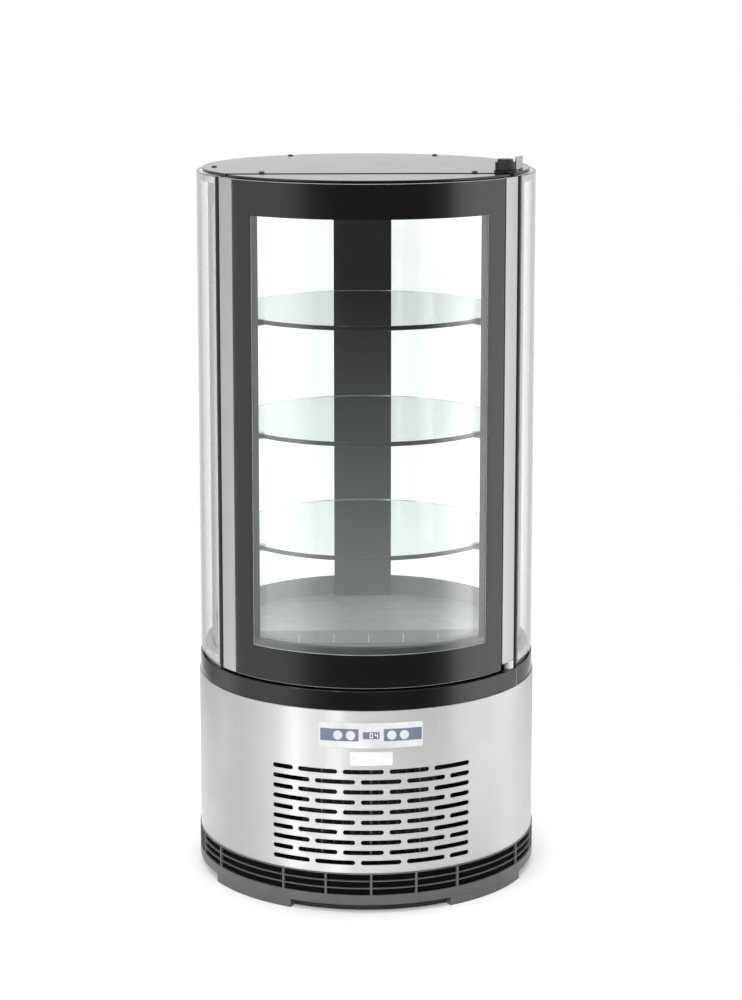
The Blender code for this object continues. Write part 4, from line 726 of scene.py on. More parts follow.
# %% Plinth ring with its grille and feet
FOOT_TOP = 0.0113
QUADRANTS = (0, 90, 180, 270)
GRILLE_ROWS = 3
GRILLE_LOW = FOOT_TOP + 0.0134
GRILLE_PITCH = (FLOOR_TO_PLINTH_TOP - GRILLE_LOW) / GRILLE_ROWS
GRILLE_BAR = 0.0014
GRILLE_POST = 0.0016
GRILLE_CELLS = ((0, 15), (15, 30), (30, 60), (60, 75), (75, 90))
LEDGE_INNER, LEDGE_THICKNESS = 0.1985, 0.003
FOOT_INNER, FOOT_HALF_ANGLE = 0.1990, 17.7
SHADE_SHEET_BACK, SHADE_SHEET_FRONT = PLINTH_RADIUS - 0.0075, PLINTH_RADIUS - 0.0045
SHADOW_BAND_BACK, SHADOW_BAND_FRONT = PLINTH_RADIUS - 0.0125, PLINTH_RADIUS - 0.0105
SHADOW_BAND_BOTTOM, SHADOW_BAND_HALF_ANGLE = 0.0012, 26.9


def plinth_windows():
    """The open cells of the grille, as curved_wall wants them."""
    edge = math.degrees(GRILLE_POST / PLINTH_RADIUS)
    windows = []
    for quadrant in QUADRANTS:
        for start, end in GRILLE_CELLS:
            for row in range(GRILLE_ROWS):
                low = GRILLE_LOW + row * GRILLE_PITCH
                windows.append((quadrant + start + edge, quadrant + end - edge,
                                low, low + GRILLE_PITCH - GRILLE_BAR))
    return windows


windows = plinth_windows()
marks = {angle for window in windows for angle in window[:2]}
edges = {round(level, 6) for window in windows for level in window[2:]}
levels = sorted({FOOT_TOP, FLOOR_TO_PLINTH_TOP} | edges)
round_case = spread(0, 360)[:-1]
wall = curved_wall(PLINTH_RADIUS - 0.0035, PLINTH_RADIUS, spread(0, 360, marks)[:-1], levels, windows,
                   ring=True)
curved_wall(LEDGE_INNER, PLINTH_RADIUS - 0.0034, round_case, [FOOT_TOP, FOOT_TOP + LEDGE_THICKNESS],
            ring=True, shape=wall)
for quadrant in QUADRANTS:
    foot = quadrant + 45
    curved_wall(FOOT_INNER, PLINTH_RADIUS - 0.0002, spread(foot - FOOT_HALF_ANGLE, foot + FOOT_HALF_ANGLE),
                [0, FOOT_TOP + 0.0002], shape=wall)
fit(piece_from("plinth_moulding", wall, PLINTH_GREY), "case", "grey_plastic", "plinth", bevel=0.0005)
# A near-black sheet behind the grille: painted shade, standing in for the dark inside of the base.
shade_sheet = curved_wall(SHADE_SHEET_BACK, SHADE_SHEET_FRONT, round_case, [FOOT_TOP + 0.0032, FLOOR_TO_PLINTH_TOP - SEAT_GAP],
                  ring=True)
fit(piece_from("grille_shade_sheet", shade_sheet, SHADE_SHEET_BLACK), "case", "foam")
# Dark bands between the feet: painted shadow for the shade on the floor under the case.
for number, middle in enumerate(QUADRANTS, 1):
    lip = curved_wall(SHADOW_BAND_BACK, SHADOW_BAND_FRONT, spread(middle - SHADOW_BAND_HALF_ANGLE, middle + SHADOW_BAND_HALF_ANGLE),
                      [SHADOW_BAND_BOTTOM, FOOT_TOP + 0.0001])
    fit(piece_from(f"pan_lip_{number}", lip, RUBBER), "case", "black_plastic")

# %% [markdown]
# ## Punched sheet
#
# The shell is one sheet rolled into a tube, with round-ended slots punched through it. Here the sheet
# is drawn in rows. Each row has a centre line, and at every angle the opening reaches equally far
# above and below that line. Where it reaches nothing, the sheet is whole. The result has only small
# four-sided faces, so the steel shades evenly right up to the edge of each slot.

# %% Openings in a rolled sheet
def slot_reach(angle, slots):
    """How far a slot opens above its centre line. A slot is (angle, length, half height, end length)."""
    for centre, length, half, end in slots:
        turn = abs((angle - centre + 180) % 360 - 180)
        beyond = (math.radians(turn) * BASE_RADIUS - length / 2 + end) / end
        if beyond < 1 - 1e-4:
            return half * math.sqrt(1 - max(beyond, 0) ** 2)
    return 0.0


def slot_marks(slots):
    """Every angle at which a slot starts, ends or curves."""
    marks, steps = set(), 6
    for centre, length, half, end in slots:
        for step in range(steps + 1):
            reach = length / 2 - end + end * math.sin(math.pi / 2 * step / steps)
            turn = math.degrees(reach / BASE_RADIUS)
            marks |= {(centre - turn) % 360, (centre + turn) % 360}
    return marks


# %% [markdown]
# ## Rows become a sheet
#
# Both faces of the sheet share their angles and heights, so the thickness inside each slot is one
# more strip of quads. That strip is what glints in the photo.

# %% A rolled sheet from rows
def punched_wall(inner, outer, rows):
    """A ring of sheet. A row is (low, centre, high, slots) and rows stand on each other."""
    every = sorted(set().union(*[slot_marks(row[3]) for row in rows]))
    marks = [mark for before, mark in zip([-1] + every, every) if mark - before > 2e-4]
    angles = spread(0.0, 360.0, marks)[:-1]
    shape = bmesh.new()
    corners = {}

    def corner(column, radius, height):
        key = (column % len(angles), radius, round(height, 7))
        if key not in corners:
            corners[key] = shape.verts.new((*on_circle(radius, angles[key[0]]), height))
        return corners[key]

    def strip(column, first_radius, first, second_radius, second):
        after = column + 1
        shape.faces.new([corner(column, first_radius, first[0]), corner(after, first_radius, first[1]),
                         corner(after, second_radius, second[1]), corner(column, second_radius, second[0])])

    for low, centre, high, slots in rows:
        reach = [slot_reach(angle, slots) for angle in angles]
        for column, here in enumerate(reach):
            there = reach[(column + 1) % len(angles)]
            below, above = (centre - here, centre - there), (centre + here, centre + there)
            for radius in (inner, outer):
                strip(column, radius, (low, low), radius, below)
                strip(column, radius, above, radius, (high, high))
            if here or there:
                strip(column, outer, below, inner, below)
                strip(column, outer, above, inner, above)
    for column in range(len(angles)):
        for level in (rows[0][0], rows[-1][2]):
            strip(column, outer, (level, level), inner, (level, level))
    print("sheet with", len(angles), "columns and", len(shape.faces), "faces")
    return shape


# %% [markdown]
# ## Steel shell
#
# The slots lie in a running bond: each row ends in one short slot, left and right by turns. A few rows
# at the rear let the warm air out. The fascia covers one plain opening above the front rows, and
# three narrow stiffeners stand behind them.

# %% Rolled shell with punched slots
SLOT_HEIGHT = 0.0063
SLOT_LENGTH = 0.0540
SHORT_SLOT = 0.0304
SLOT_SPACE = 0.0074
SLOT_PITCH = 0.01381
SLOT_TOP = SHELL_TOP - 0.0823
SLOT_MIDDLE = 0.37
FRONT_ROWS, REAR_ROWS = 10, 5
SHEET = 0.0012
PANEL_WINDOW = (0.0, 0.1212, 0.0135, 0.0004)
GLAND_HOLE = 0.0080
FLANGE_INNER = BASE_RADIUS - 0.0132
STIFFENER_BACK, STIFFENER_FRONT = BASE_RADIUS - 0.0056, BASE_RADIUS - 0.0044
STIFFENER_ANGLE, STIFFENER_HALF_ANGLE = 16.6, 0.28


def slot_row(lengths, centre_angle):
    """Slots side by side, the whole row centred on an angle."""
    total = sum(lengths) + SLOT_SPACE * (len(lengths) - 1)
    reach, slots = -total / 2, []
    for length in lengths:
        angle = centre_angle + math.degrees((reach + length / 2) / BASE_RADIUS)
        slots.append((angle, length, SLOT_HEIGHT / 2, SLOT_HEIGHT / 2))
        reach += length + SLOT_SPACE
    return slots


rows = []
for row in reversed(range(FRONT_ROWS)):
    full = [SLOT_LENGTH] * 4
    slots = slot_row(full + [SHORT_SLOT] if row % 2 else [SHORT_SLOT] + full, SLOT_MIDDLE)
    if row < REAR_ROWS:
        slots += slot_row([SLOT_LENGTH] * 3, 180.0)
    centre = SLOT_TOP - row * SLOT_PITCH
    rows.append((centre - SLOT_PITCH / 2, centre, centre + SLOT_PITCH / 2, slots))
foot, head = rows[0][0], rows[-1][2]
panel_low, panel_high = PANEL_HEIGHT - 0.016, PANEL_HEIGHT + 0.0145
rows = ([(SHELL_BOTTOM, (SHELL_BOTTOM + foot) / 2, foot, [])] + rows
        + [(head, (head + panel_low) / 2, panel_low, []),
           (panel_low, PANEL_HEIGHT, panel_high, [PANEL_WINDOW]),
           (panel_high, (panel_high + SHELL_TOP) / 2, SHELL_TOP, [])])
shell = piece_from("rolled_shell", punched_wall(BASE_RADIUS - SHEET, BASE_RADIUS, rows), STAINLESS)
gland_height = (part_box("cable_gland")[0].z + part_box("cable_gland")[1].z) / 2
carve(shell, extruded(disc_points(GLAND_HOLE), 0.22, 0.235, outward(180, gland_height)))
flange = curved_wall(FLANGE_INNER, BASE_RADIUS - SHEET, round_case, [SHELL_TOP - SHEET, SHELL_TOP],
                     ring=True)
flange = piece_from("shell_flange", flange, STAINLESS)
fit(shell, "case", "stainless", "base_shell")
fit(flange, "case", "stainless")
for name, angle in (("left", -STIFFENER_ANGLE), ("middle", 0.0), ("right", STIFFENER_ANGLE)):
    reach = spread(angle - STIFFENER_HALF_ANGLE, angle + STIFFENER_HALF_ANGLE)
    strip = curved_wall(STIFFENER_BACK, STIFFENER_FRONT, reach, [foot + SLOT_PITCH, head])
    fit(piece_from(f"stiffener_{name}", strip, SPACER_METAL), "case", "stainless")

# %% [markdown]
# ## Control panel
#
# A white moulded fascia hugs the steel. Two grey bands are printed on it, each behind a pair of
# round push buttons, and a tinted window shows the temperature. A shallow body behind it fills the
# opening in the steel. The buttons are separate bodies, because each one is pressed on its own.

# %% Fascia, printed bands and the bare badge
SEAT = BASE_RADIUS + SEAT_GAP
FACE = SEAT + 0.0007
BUTTON_OFFSETS = (-0.0437, -0.0270, 0.0270, 0.0437)
BUTTON_ANGLES = [math.degrees(offset / BASE_RADIUS) for offset in BUTTON_OFFSETS]
BUTTON_HOLE = 0.00655
# Width, height and corner radius of each plate and of the display's window
FASCIA = (0.1360, 0.0340, 0.0030)
BAND = (0.0508, 0.0166, 0.0004)
BADGE = (0.0564, 0.0187, 0.0025)
WINDOW = (0.0218, 0.0095, 0.0006)
BAND_ANGLE, BAND_RISE = 10.35, 0.0005
BADGE_DROP = 0.06385
BODY_DEPTH, BODY_HALF_ANGLE, BODY_HALF_HEIGHT = 0.005, 15.0, 0.0129


def hugging_plate(name, size, low, high, centre_angle, centre_height, material):
    """A thin curved plate with round corners; low and high are its radii."""
    width, height, corner = size
    half = math.degrees(width / 2 / BASE_RADIUS) + 2
    wall = curved_wall(low, high, spread(centre_angle - half, centre_angle + half, step=0.75),
                       [centre_height - height, centre_height + height])
    plate = piece_from(name, wall, material)
    place = outward(centre_angle, centre_height)
    return carve(plate, extruded(round_corners(width, height, corner), 0.2, 0.24, place), "INTERSECT")


def panel_holes():
    """Four round holes for the buttons and one window, as one cutting shape."""
    holes = bmesh.new()
    for angle in BUTTON_ANGLES:
        extruded(disc_points(BUTTON_HOLE, steps=48), 0.215, 0.24, outward(angle, PANEL_HEIGHT), holes)
    extruded(round_corners(*WINDOW, 3), 0.215, 0.24, outward(0, PANEL_HEIGHT), holes)
    return holes


fascia = hugging_plate("fascia", FASCIA, SEAT, FACE, 0, PANEL_HEIGHT, PANEL_WHITE)
carve(fascia, panel_holes())
fit(fascia, "case", "white_plastic", "control_fascia", bevel=0.0002)
back = curved_wall(SEAT - BODY_DEPTH, SEAT + 0.0002, spread(-BODY_HALF_ANGLE, BODY_HALF_ANGLE),
                   [PANEL_HEIGHT - BODY_HALF_HEIGHT, PANEL_HEIGHT + BODY_HALF_HEIGHT])
back = carve(piece_from("fascia_back", back, PANEL_WHITE), panel_holes())
fit(back, "case", "white_plastic")
for side, angle in (("left", -BAND_ANGLE), ("right", BAND_ANGLE)):
    band = hugging_plate(f"fascia_band_{side}", BAND, FACE, FACE + 0.00005, angle,
                         PANEL_HEIGHT + BAND_RISE, BAND_GREY)
    carve(band, panel_holes())
    fit(band, "case", "white_plastic")
badge = hugging_plate("bare_badge", BADGE, SEAT, SEAT + 0.0006, 0, SHELL_TOP - BADGE_DROP, BADGE_WHITE)
fit(badge, "case", "white_plastic", "badge_plate", bevel=0.0002)

# %% [markdown]
# ## Push buttons
#
# Each button is a small turned cap whose face is slightly dished for a fingertip. Turning the
# profile gives the dish its round gleam. The caps carry no signs.

# %% Push buttons with a dished face
BUTTON_RADIUS, BUTTON_DEPTH = 0.00625, 0.006


def button_profile(tip):
    """Half the outline of a cap whose crown reaches the tip."""
    radius, foot = BUTTON_RADIUS, tip - BUTTON_DEPTH
    return [(0, foot), (radius, foot), (radius, tip - 0.0006), (radius - 0.0002, tip - 0.0002),
            (radius - 0.0007, tip), (radius - 0.0016, tip - 0.0001), (0.003, tip - 0.0003),
            (0, tip - 0.00035)]


for number, angle in enumerate(BUTTON_ANGLES, 1):
    cap = turned(button_profile(FACE + 0.0004), 48, outward(angle, PANEL_HEIGHT))
    fit(piece_from(f"push_button_{number}", cap, PANEL_WHITE), f"button_{number}", "white_plastic",
        f"button_{number}")

# %% [markdown]
# ## Temperature display
#
# The window is tinted acrylic. Behind it a small module lights two digits made of seven bars each.
# Bars are real little prisms with an emission colour, which stays sharp at any distance.

# %% Tinted window and seven-bar digits
PANE_HALF_ANGLE, PANE_HALF_HEIGHT = 2.62, 0.0044
BAR_LENGTH, BAR_WIDTH = 0.0025, 0.0007
BAR_SIDE, BAR_RISE = 0.0016, 0.0029


def tinted_window():
    """Smoky violet acrylic with a slight fade."""
    material, tree, shader, where = start_finish("tinted window", (0.20, 0.18, 0.32), 0.12)
    marks = place_group(tree, MARKS, where, Scale=60.0, Amount=0.05)
    shift_roughness(tree, shader, 0.12, marks.outputs["Roughness Change"])
    fade = noise(tree, where, 120.0, 1.0)
    tint = blend_colours(tree, fade, (0.18, 0.17, 0.30), (0.24, 0.22, 0.36))
    wire(tree, tint, shader.inputs["Base Color"])
    return material


def lit_bars():
    """Pale violet bars that give their own light."""
    material, tree, shader, where = start_finish("lit bars", (0.75, 0.72, 0.95), 0.4)
    glow = noise(tree, where, 600.0, 1.0)
    light = blend_colours(tree, glow, (0.70, 0.66, 1.0), (0.92, 0.90, 1.0))
    wire(tree, light, shader.inputs["Emission Color"])
    shader.inputs["Emission Strength"].default_value = 0.9
    return material


pane = curved_wall(FACE - 0.0036, FACE - 0.00005, spread(-PANE_HALF_ANGLE, PANE_HALF_ANGLE, step=0.5),
                   [PANEL_HEIGHT - PANE_HALF_HEIGHT, PANEL_HEIGHT + PANE_HALF_HEIGHT])
fit(piece_from("window_pane", pane, tinted_window()), "case", "display_tint", "display_window")
BAR_SHAPES = {"top": (0, 1, 0), "middle": (0, 0, 0), "bottom": (0, -1, 0), "upper_left": (-1, 0.5, 1),
              "upper_right": (1, 0.5, 1), "lower_left": (-1, -0.5, 1), "lower_right": (1, -0.5, 1)}
DIGITS = {0: ("top", "bottom", "upper_left", "upper_right", "lower_left", "lower_right"),
          4: ("middle", "upper_left", "upper_right", "lower_right")}
bars = bmesh.new()
for place, digit in ((0.0, 0), (0.0067, 4)):
    for bar in DIGITS[digit]:
        x, z, upright = BAR_SHAPES[bar]
        size = (BAR_WIDTH, BAR_LENGTH) if upright else (BAR_LENGTH, BAR_WIDTH)
        outline = [(place + x * BAR_SIDE + dx * size[0] / 2, z * BAR_RISE + dz * size[1] / 2)
                   for dx, dz in ((-1, -1), (1, -1), (1, 1), (-1, 1))]
        extruded(outline, FACE - 0.0001, FACE + 0.00002, outward(0, PANEL_HEIGHT), bars)
fit(piece_from("digit_bars", bars, lit_bars()), "case", "display_tint")

# %% [markdown]
# ## Black rim
#
# The rim caps the steel and carries the glass. It is turned as a full plate with a deep edge, and the
# opening of the cold chamber is cut out of it. The lug at the right, where the lower hinge stands, is
# a piece of its own.

# %% Rim with its hinge lug
OPENING_FACE, OPENING_HALF, OPENING_STEP = 0.1120, 0.1675, 0.0988
RIM_SHELF = 0.0080
RIM_INNER = 0.225


def chamber_outline(inset):
    """The cold chamber in plan: a circle with a flat front, drawn in by the inset."""
    radius, steps = CHAMBER_RADIUS - inset, 160
    face, side, step = OPENING_FACE - inset, OPENING_HALF - inset, OPENING_STEP - inset
    corner = math.degrees(math.acos(step / radius))
    around = [on_circle(radius, corner + (360 - 2 * corner) * index / steps) for index in range(steps + 1)]
    return [(-side, -step), (-side, -face), (side, -face), (side, -step)] + around


HINGE_ANGLE = math.degrees(math.atan2(HINGE.x, -HINGE.y))
under = RIM_TOP - 0.003
profile = [(0, under), (RIM_INNER, under), (RIM_INNER, RIM_BOTTOM), (RIM_RADIUS, RIM_BOTTOM),
           (RIM_RADIUS, RIM_TOP - 0.0011), (RIM_RADIUS, RIM_TOP - 0.0008),
           (RIM_RADIUS - 0.0003, RIM_TOP - 0.0002), (RIM_RADIUS - 0.0009, RIM_TOP), (0, RIM_TOP)]
rim = piece_from("gloss_rim", turned(profile, 240), GLOSS_BLACK)
carve(rim, extruded(chamber_outline(RIM_SHELF), RIM_TOP - 0.01, RIM_TOP + 0.01))
# Radius and angle from the hinge, along the lug's edge
lug_edge = [(0.2272, -10.2), (0.2289, -9.0), (0.2307, -6.7), (0.2315, -3.0), (0.2315, 0.0), (0.2315, 1.6),
            (0.2311, 2.6), (0.2300, 3.1), (0.2272, 3.2)]
lug_points = [on_circle(radius, HINGE_ANGLE + turn) for radius, turn in lug_edge]
lug = extruded(lug_points, RIM_BOTTOM, RIM_TOP - 0.0001)
fit(rim, "case", "black_gloss", "base_rim")
fit(piece_from("hinge_lug", lug, GLOSS_BLACK, 40), "case", "black_gloss", bevel=0.0008)

# %% [markdown]
# ## Cold chamber
#
# Inside, a grey liner stands on the rim and holds the light grey deck on a ledge. The liner is
# skinned through loops of the same outline at different insets, like slip-casting a shallow dish.
# Its outer wall is white where the side glass shows it, and its front wall has five small ribs.

# %% Liner, deck and everything that keeps its CAD shape
LINER_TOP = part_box("deck_liner")[1].z
DECK_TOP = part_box("deck_plate")[1].z
ON_RIM, UNDER_TOP = RIM_TOP + SEAT_GAP, DOOR_TOP - SEAT_GAP
DECK_THICKNESS, DECK_INSET = 0.003, 0.0053
RIB_PLACES = (-0.0927, -0.0463, 0.0, 0.0463, 0.0927)
RIB_HALF, RIB_FRONT, RIB_BACK = 0.0006, -0.1124, -0.1121
RIB_LOW, RIB_HIGH = 0.3375, 0.3500
POST_START, POST_END = 172.0, 188.0
# Inset and height of each loop: up the outside, over the lip, down to the ledge and back underneath
liner_steps = ((0, ON_RIM), (0, LINER_TOP - 0.0006), (0.0006, LINER_TOP), (0.0044, LINER_TOP),
               (0.005, LINER_TOP - 0.0006), (0.005, DECK_TOP - 0.0033), (0.013, DECK_TOP - 0.0033),
               (0.013, DECK_TOP - 0.006), (0.005, ON_RIM))
liner = skinned([[(x, y, z) for x, y in chamber_outline(inset)] for inset, z in liner_steps])
liner = piece_from("chamber_liner", liner, LINER_GREY)
liner.data.materials.append(CEILING_WHITE)
for face in liner.data.polygons:
    faces_out = face.normal.x * face.center.x + face.normal.y * face.center.y > 0
    face.material_index = 1 if faces_out and face.center.y > -0.1 and abs(face.normal.z) < 0.5 else 0
fit(liner, "case", "grey_plastic", "deck_liner")
for number, x in enumerate(RIB_PLACES, 1):
    left, right = x - RIB_HALF, x + RIB_HALF
    rib = extruded([(left, RIB_FRONT), (right, RIB_FRONT), (right, RIB_BACK), (left, RIB_BACK)],
                   RIB_LOW, RIB_HIGH)
    fit(piece_from(f"liner_rib_{number}", rib, CEILING_WHITE), "case", "grey_plastic")
deck = extruded(chamber_outline(DECK_INSET), DECK_TOP - DECK_THICKNESS, DECK_TOP)
deck = piece_from("deck_tray", deck, DECK_PAINT)
fit(deck, "case", "deck_grey", "deck_plate", bevel=0.0006)
dress(CEILING_WHITE, "roof_panel")
dress(DIFFUSER, "light_bar")
dress(SATIN_BLACK, "mullion_left", "mullion_right")
dress(COLUMN_BLACK, "column_cover")
dress(LINER_GREY, "shelf_rail_left", "shelf_rail_right")
dress(FOAM, "insulation_tub")
post = curved_wall(INNER_PANE_BACK, GLASS_RADIUS, spread(POST_START, POST_END), [ON_RIM, UNDER_TOP])
fit(piece_from("rear_spine", post, COLUMN_BLACK), "case", "black_plastic", "rear_post", bevel=0.0008)

# %% [markdown]
# ## Machine room
#
# The cooling set is seen only through the slots, as gleams on fins and a dark round compressor. Its
# CAD shapes are good enough there, so they only get finishes.

# %% Finishes for the cooling set
dress(BLACK_ENAMEL, "compressor", "condenser_fan_frame", "chassis_pan")
dress(SATIN_BLACK, "condenser_fan_blade", "evaporator_fan_frame", "evaporator_fan_blade")
dress(DARKENED_GALVANISED, "condenser")
dress(ALUMINIUM, "evaporator")
dress(PALE_SPACER, "hinge_pin_lower")
dress(COPPER, "suction_pipe", "discharge_pipe")
dress(BOARD_GREEN, "control_board")
dress(RUBBER, "cable_gland", "door_gasket")

# %% [markdown]
# ## Side glazing
#
# Each side is a sealed unit: two curved panes with a pale spacer between them. Light finds the
# spacer through the outer pane, so it is a real frame with a real gap, not a painted line. A dark
# border runs behind the outer pane, along the edge next to the door.

# %% Side panes and their spacers
SIDE_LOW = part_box("side_glass_right_outer")[0].z
SPACER_TURN, SPACER_FOOT, SPACER_HEAD = 2.44, 0.016, 0.0095
# First angle, last angle and the width of the dark border, in degrees
SIDES = {"right": (60.96, 171.92, 1.9), "left": (188.08, 299.04, 1.3)}
for side, (start, end, border_width) in SIDES.items():
    outer = curved_wall(PANE_BACK, GLASS_RADIUS, spread(start, end), [SIDE_LOW, DOOR_TOP])
    fit(piece_from(f"side_pane_{side}_outer", outer, PANE_GLASS), "case", "glass",
        f"side_glass_{side}_outer", bevel=0.0006)
    inner = curved_wall(INNER_PANE_BACK, INNER_PANE_FRONT, spread(start, end), [SIDE_LOW, DOOR_TOP])
    fit(piece_from(f"side_pane_{side}_inner", inner, PANE_GLASS), "case", "glass",
        f"side_glass_{side}_inner", bevel=0.0006)
    window = (start + SPACER_TURN, end - SPACER_TURN, ON_RIM + SPACER_FOOT, UNDER_TOP - SPACER_HEAD)
    spacer = curved_wall(SPACER_BACK, SPACER_FRONT, spread(start, end, window[:2]),
                         [ON_RIM, window[2], window[3], UNDER_TOP], [window])
    fit(piece_from(f"spacer_{side}", spacer, PALE_SPACER), "case", "aluminium",
        f"side_spacer_{side}", bevel=0.0004)
    first = start if side == "right" else end - border_width
    border = curved_wall(PANE_BACK - 0.0002, PANE_BACK - 0.00005, spread(first, first + border_width),
                         [ON_RIM, UNDER_TOP])
    fit(piece_from(f"side_border_{side}", border, RUBBER), "case", "black_plastic")

# %% [markdown]
# ## Shelves
#
# Three discs of clear glass with ground edges. The edge is rounded over in a few facets, and it is
# the edge, not the face, that draws the shelf in the photo.

# %% Round glass shelves
ease = 0.0008
for name in ("lower", "middle", "upper"):
    low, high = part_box(f"shelf_{name}")[0].z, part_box(f"shelf_{name}")[1].z
    profile = [(0, low), (SHELF_RADIUS - ease, low), (SHELF_RADIUS - ease * 0.3, low + ease * 0.3),
               (SHELF_RADIUS, low + ease), (SHELF_RADIUS, high - ease),
               (SHELF_RADIUS - ease * 0.3, high - ease * 0.3), (SHELF_RADIUS - ease, high), (0, high)]
    shelf = piece_from(f"glass_shelf_{name}", turned(profile, 192), SHELF_GLASS, 15)
    shelf.data.materials.append(GLASS_EDGE)
    for face in shelf.data.polygons:
        face.material_index = 1 if abs(face.normal.z) < 0.99 else 0
    fit(shelf, "case", "glass", f"shelf_{name}")

# %% [markdown]
# ## Door
#
# The door is a D-shaped case: a curved double-glazed front, a flat back that closes on the gasket,
# and an aluminium stile at each side. Black enamel is fired onto the border of the outer pane and
# hides the frame, so the pane is clear in the window and gloss black around it. Its ground edge is a
# third finish and shows as a thin grey line. A pale strip follows the window at the sides and below;
# it is a painted highlight that draws the thin light line along the print's edge.

# %% Door glass, print and spacer
PANE_ANGLE = math.degrees(math.asin(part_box("door_glass_outer")[1].x / GLASS_RADIUS))
INNER_ANGLE = math.degrees(math.asin(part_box("door_glass_inner")[1].x / INNER_PANE_FRONT))
INNER_LOW, INNER_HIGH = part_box("door_glass_inner")[0].z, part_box("door_glass_inner")[1].z
PRINT_ANGLE, PRINT_LOW, PRINT_HIGH = 42.8, 0.3493, 0.9176
SEAL_LIP = 0.55
HIGHLIGHT_LINE_WIDTH = 0.0009
SPACER_ANGLE = 42.2
DOOR_SPACER_FOOT, DOOR_SPACER_HEAD = 0.0246, 0.009
reach = spread(-PANE_ANGLE, PANE_ANGLE - SEAL_LIP, (-PRINT_ANGLE, PRINT_ANGLE))
outer = curved_wall(PANE_BACK, GLASS_RADIUS, reach, [DOOR_BOTTOM, PRINT_LOW, PRINT_HIGH, DOOR_TOP])
outer = piece_from("door_pane_outer", outer, PANE_GLASS)
outer.data.materials.append(ENAMELLED_GLASS)
outer.data.materials.append(GROUND_EDGE)
for face in outer.data.polygons:
    turn = math.degrees(math.atan2(face.center.x, -face.center.y))
    is_clear = abs(turn) < PRINT_ANGLE and PRINT_LOW < face.center.z < PRINT_HIGH
    face.material_index = 0 if is_clear else 1
add_bevel(outer, 0.0007, finish=2)
fit(outer, "door", "glass", "door_glass_outer")
inner = curved_wall(INNER_PANE_BACK, INNER_PANE_FRONT, spread(-INNER_ANGLE, INNER_ANGLE),
                    [INNER_LOW, INNER_HIGH])
fit(piece_from("door_pane_inner", inner, GLOWING_PANE_GLASS), "door", "glass", "door_glass_inner", bevel=0.0006)
# Painted highlight: a pale strip just inside the print's edge draws its thin light line.
edge = math.degrees(HIGHLIGHT_LINE_WIDTH / PANE_BACK)
window = (-PRINT_ANGLE + edge, PRINT_ANGLE - edge, PRINT_LOW + HIGHLIGHT_LINE_WIDTH, PRINT_HIGH)
highlight_line = curved_wall(PANE_BACK - 0.0003, PANE_BACK - 0.0001, spread(-PRINT_ANGLE, PRINT_ANGLE, window[:2]),
                   [PRINT_LOW, window[2], PRINT_HIGH], [window])
fit(piece_from("window_highlight_line", highlight_line, PALE_SPACER), "door", "aluminium")
window = (-SPACER_ANGLE, SPACER_ANGLE, INNER_LOW + DOOR_SPACER_FOOT, INNER_HIGH - DOOR_SPACER_HEAD)
spacer = curved_wall(SPACER_BACK, SPACER_FRONT, spread(-INNER_ANGLE, INNER_ANGLE, window[:2]),
                     [INNER_LOW, window[2], window[3], INNER_HIGH], [window])
fit(piece_from("door_spacer_frame", spacer, SPACER_METAL), "door", "aluminium", "door_spacer", bevel=0.0004)

# %% [markdown]
# ## Door frame
#
# Behind the enamelled border runs a moulded frame that holds both panes. It is extruded from the
# door's plan and hollowed with two cuts, one for the window and one for the inner glazing.

# %% Door frame: the black moulding behind the glass
FRAME_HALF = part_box("door_frame")[1].x
FRAME_SIDE, FRAME_FOOT, FRAME_HEAD = 0.012, 0.0320, 0.0393
POCKET_TURN, POCKET_GAP = 0.11, 0.0004
turn = math.degrees(math.asin(FRAME_HALF / SPACER_FRONT))
front = arc_points(SPACER_FRONT - 0.0002, -turn, turn)
outline = [(-FRAME_HALF, -DOOR_BACK)] + front + [(FRAME_HALF, -DOOR_BACK)]
body = piece_from("door_moulding", extruded(outline, DOOR_BOTTOM + SEAT_GAP, UNDER_TOP), SATIN_BLACK)
side, ahead, behind = FRAME_HALF - FRAME_SIDE, -DOOR_BACK - 0.008, -DOOR_BACK + 0.004
hollow = arc_points(CHAMBER_RADIUS, -INNER_ANGLE, INNER_ANGLE)
hollow += [(side, ahead), (side, behind), (-side, behind), (-side, ahead)]
carve(body, extruded(hollow, DOOR_BOTTOM + FRAME_FOOT, DOOR_TOP - FRAME_HEAD))
pocket = curved_wall(CHAMBER_RADIUS - 0.001, SPACER_FRONT + 0.004,
                     spread(-INNER_ANGLE - POCKET_TURN, INNER_ANGLE + POCKET_TURN),
                     [INNER_LOW - POCKET_GAP, INNER_HIGH + POCKET_GAP])
carve(body, pocket)
fit(body, "door", "black_plastic", "door_frame")

# %% [markdown]
# ## Stiles
#
# The stiles are aluminium extrusions that wrap the door's corners. A narrow black seal shows
# between each stile and the pane. The outer face follows the same circle as the glass. A black cap
# lies on top of the door.

# %% Stiles, seals and the top cap
STILE_START, STILE_END = 51.26, 58.61
PIN_BORE, BORE_DEPTH = 0.0024, 0.018
CAP_RADIUS = 0.2225


def stile_outline():
    """The right stile in plan; the left one is its mirror image."""
    inside = FRAME_HALF + SEAT_GAP
    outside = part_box("door_stile_hinge")[1].x
    return arc_points(GLASS_RADIUS, STILE_START, STILE_END) + [
        (outside, -DOOR_BACK), (inside, -DOOR_BACK),
        (inside, -math.sqrt(SPACER_FRONT ** 2 - inside ** 2)), on_circle(SPACER_FRONT, STILE_START)]


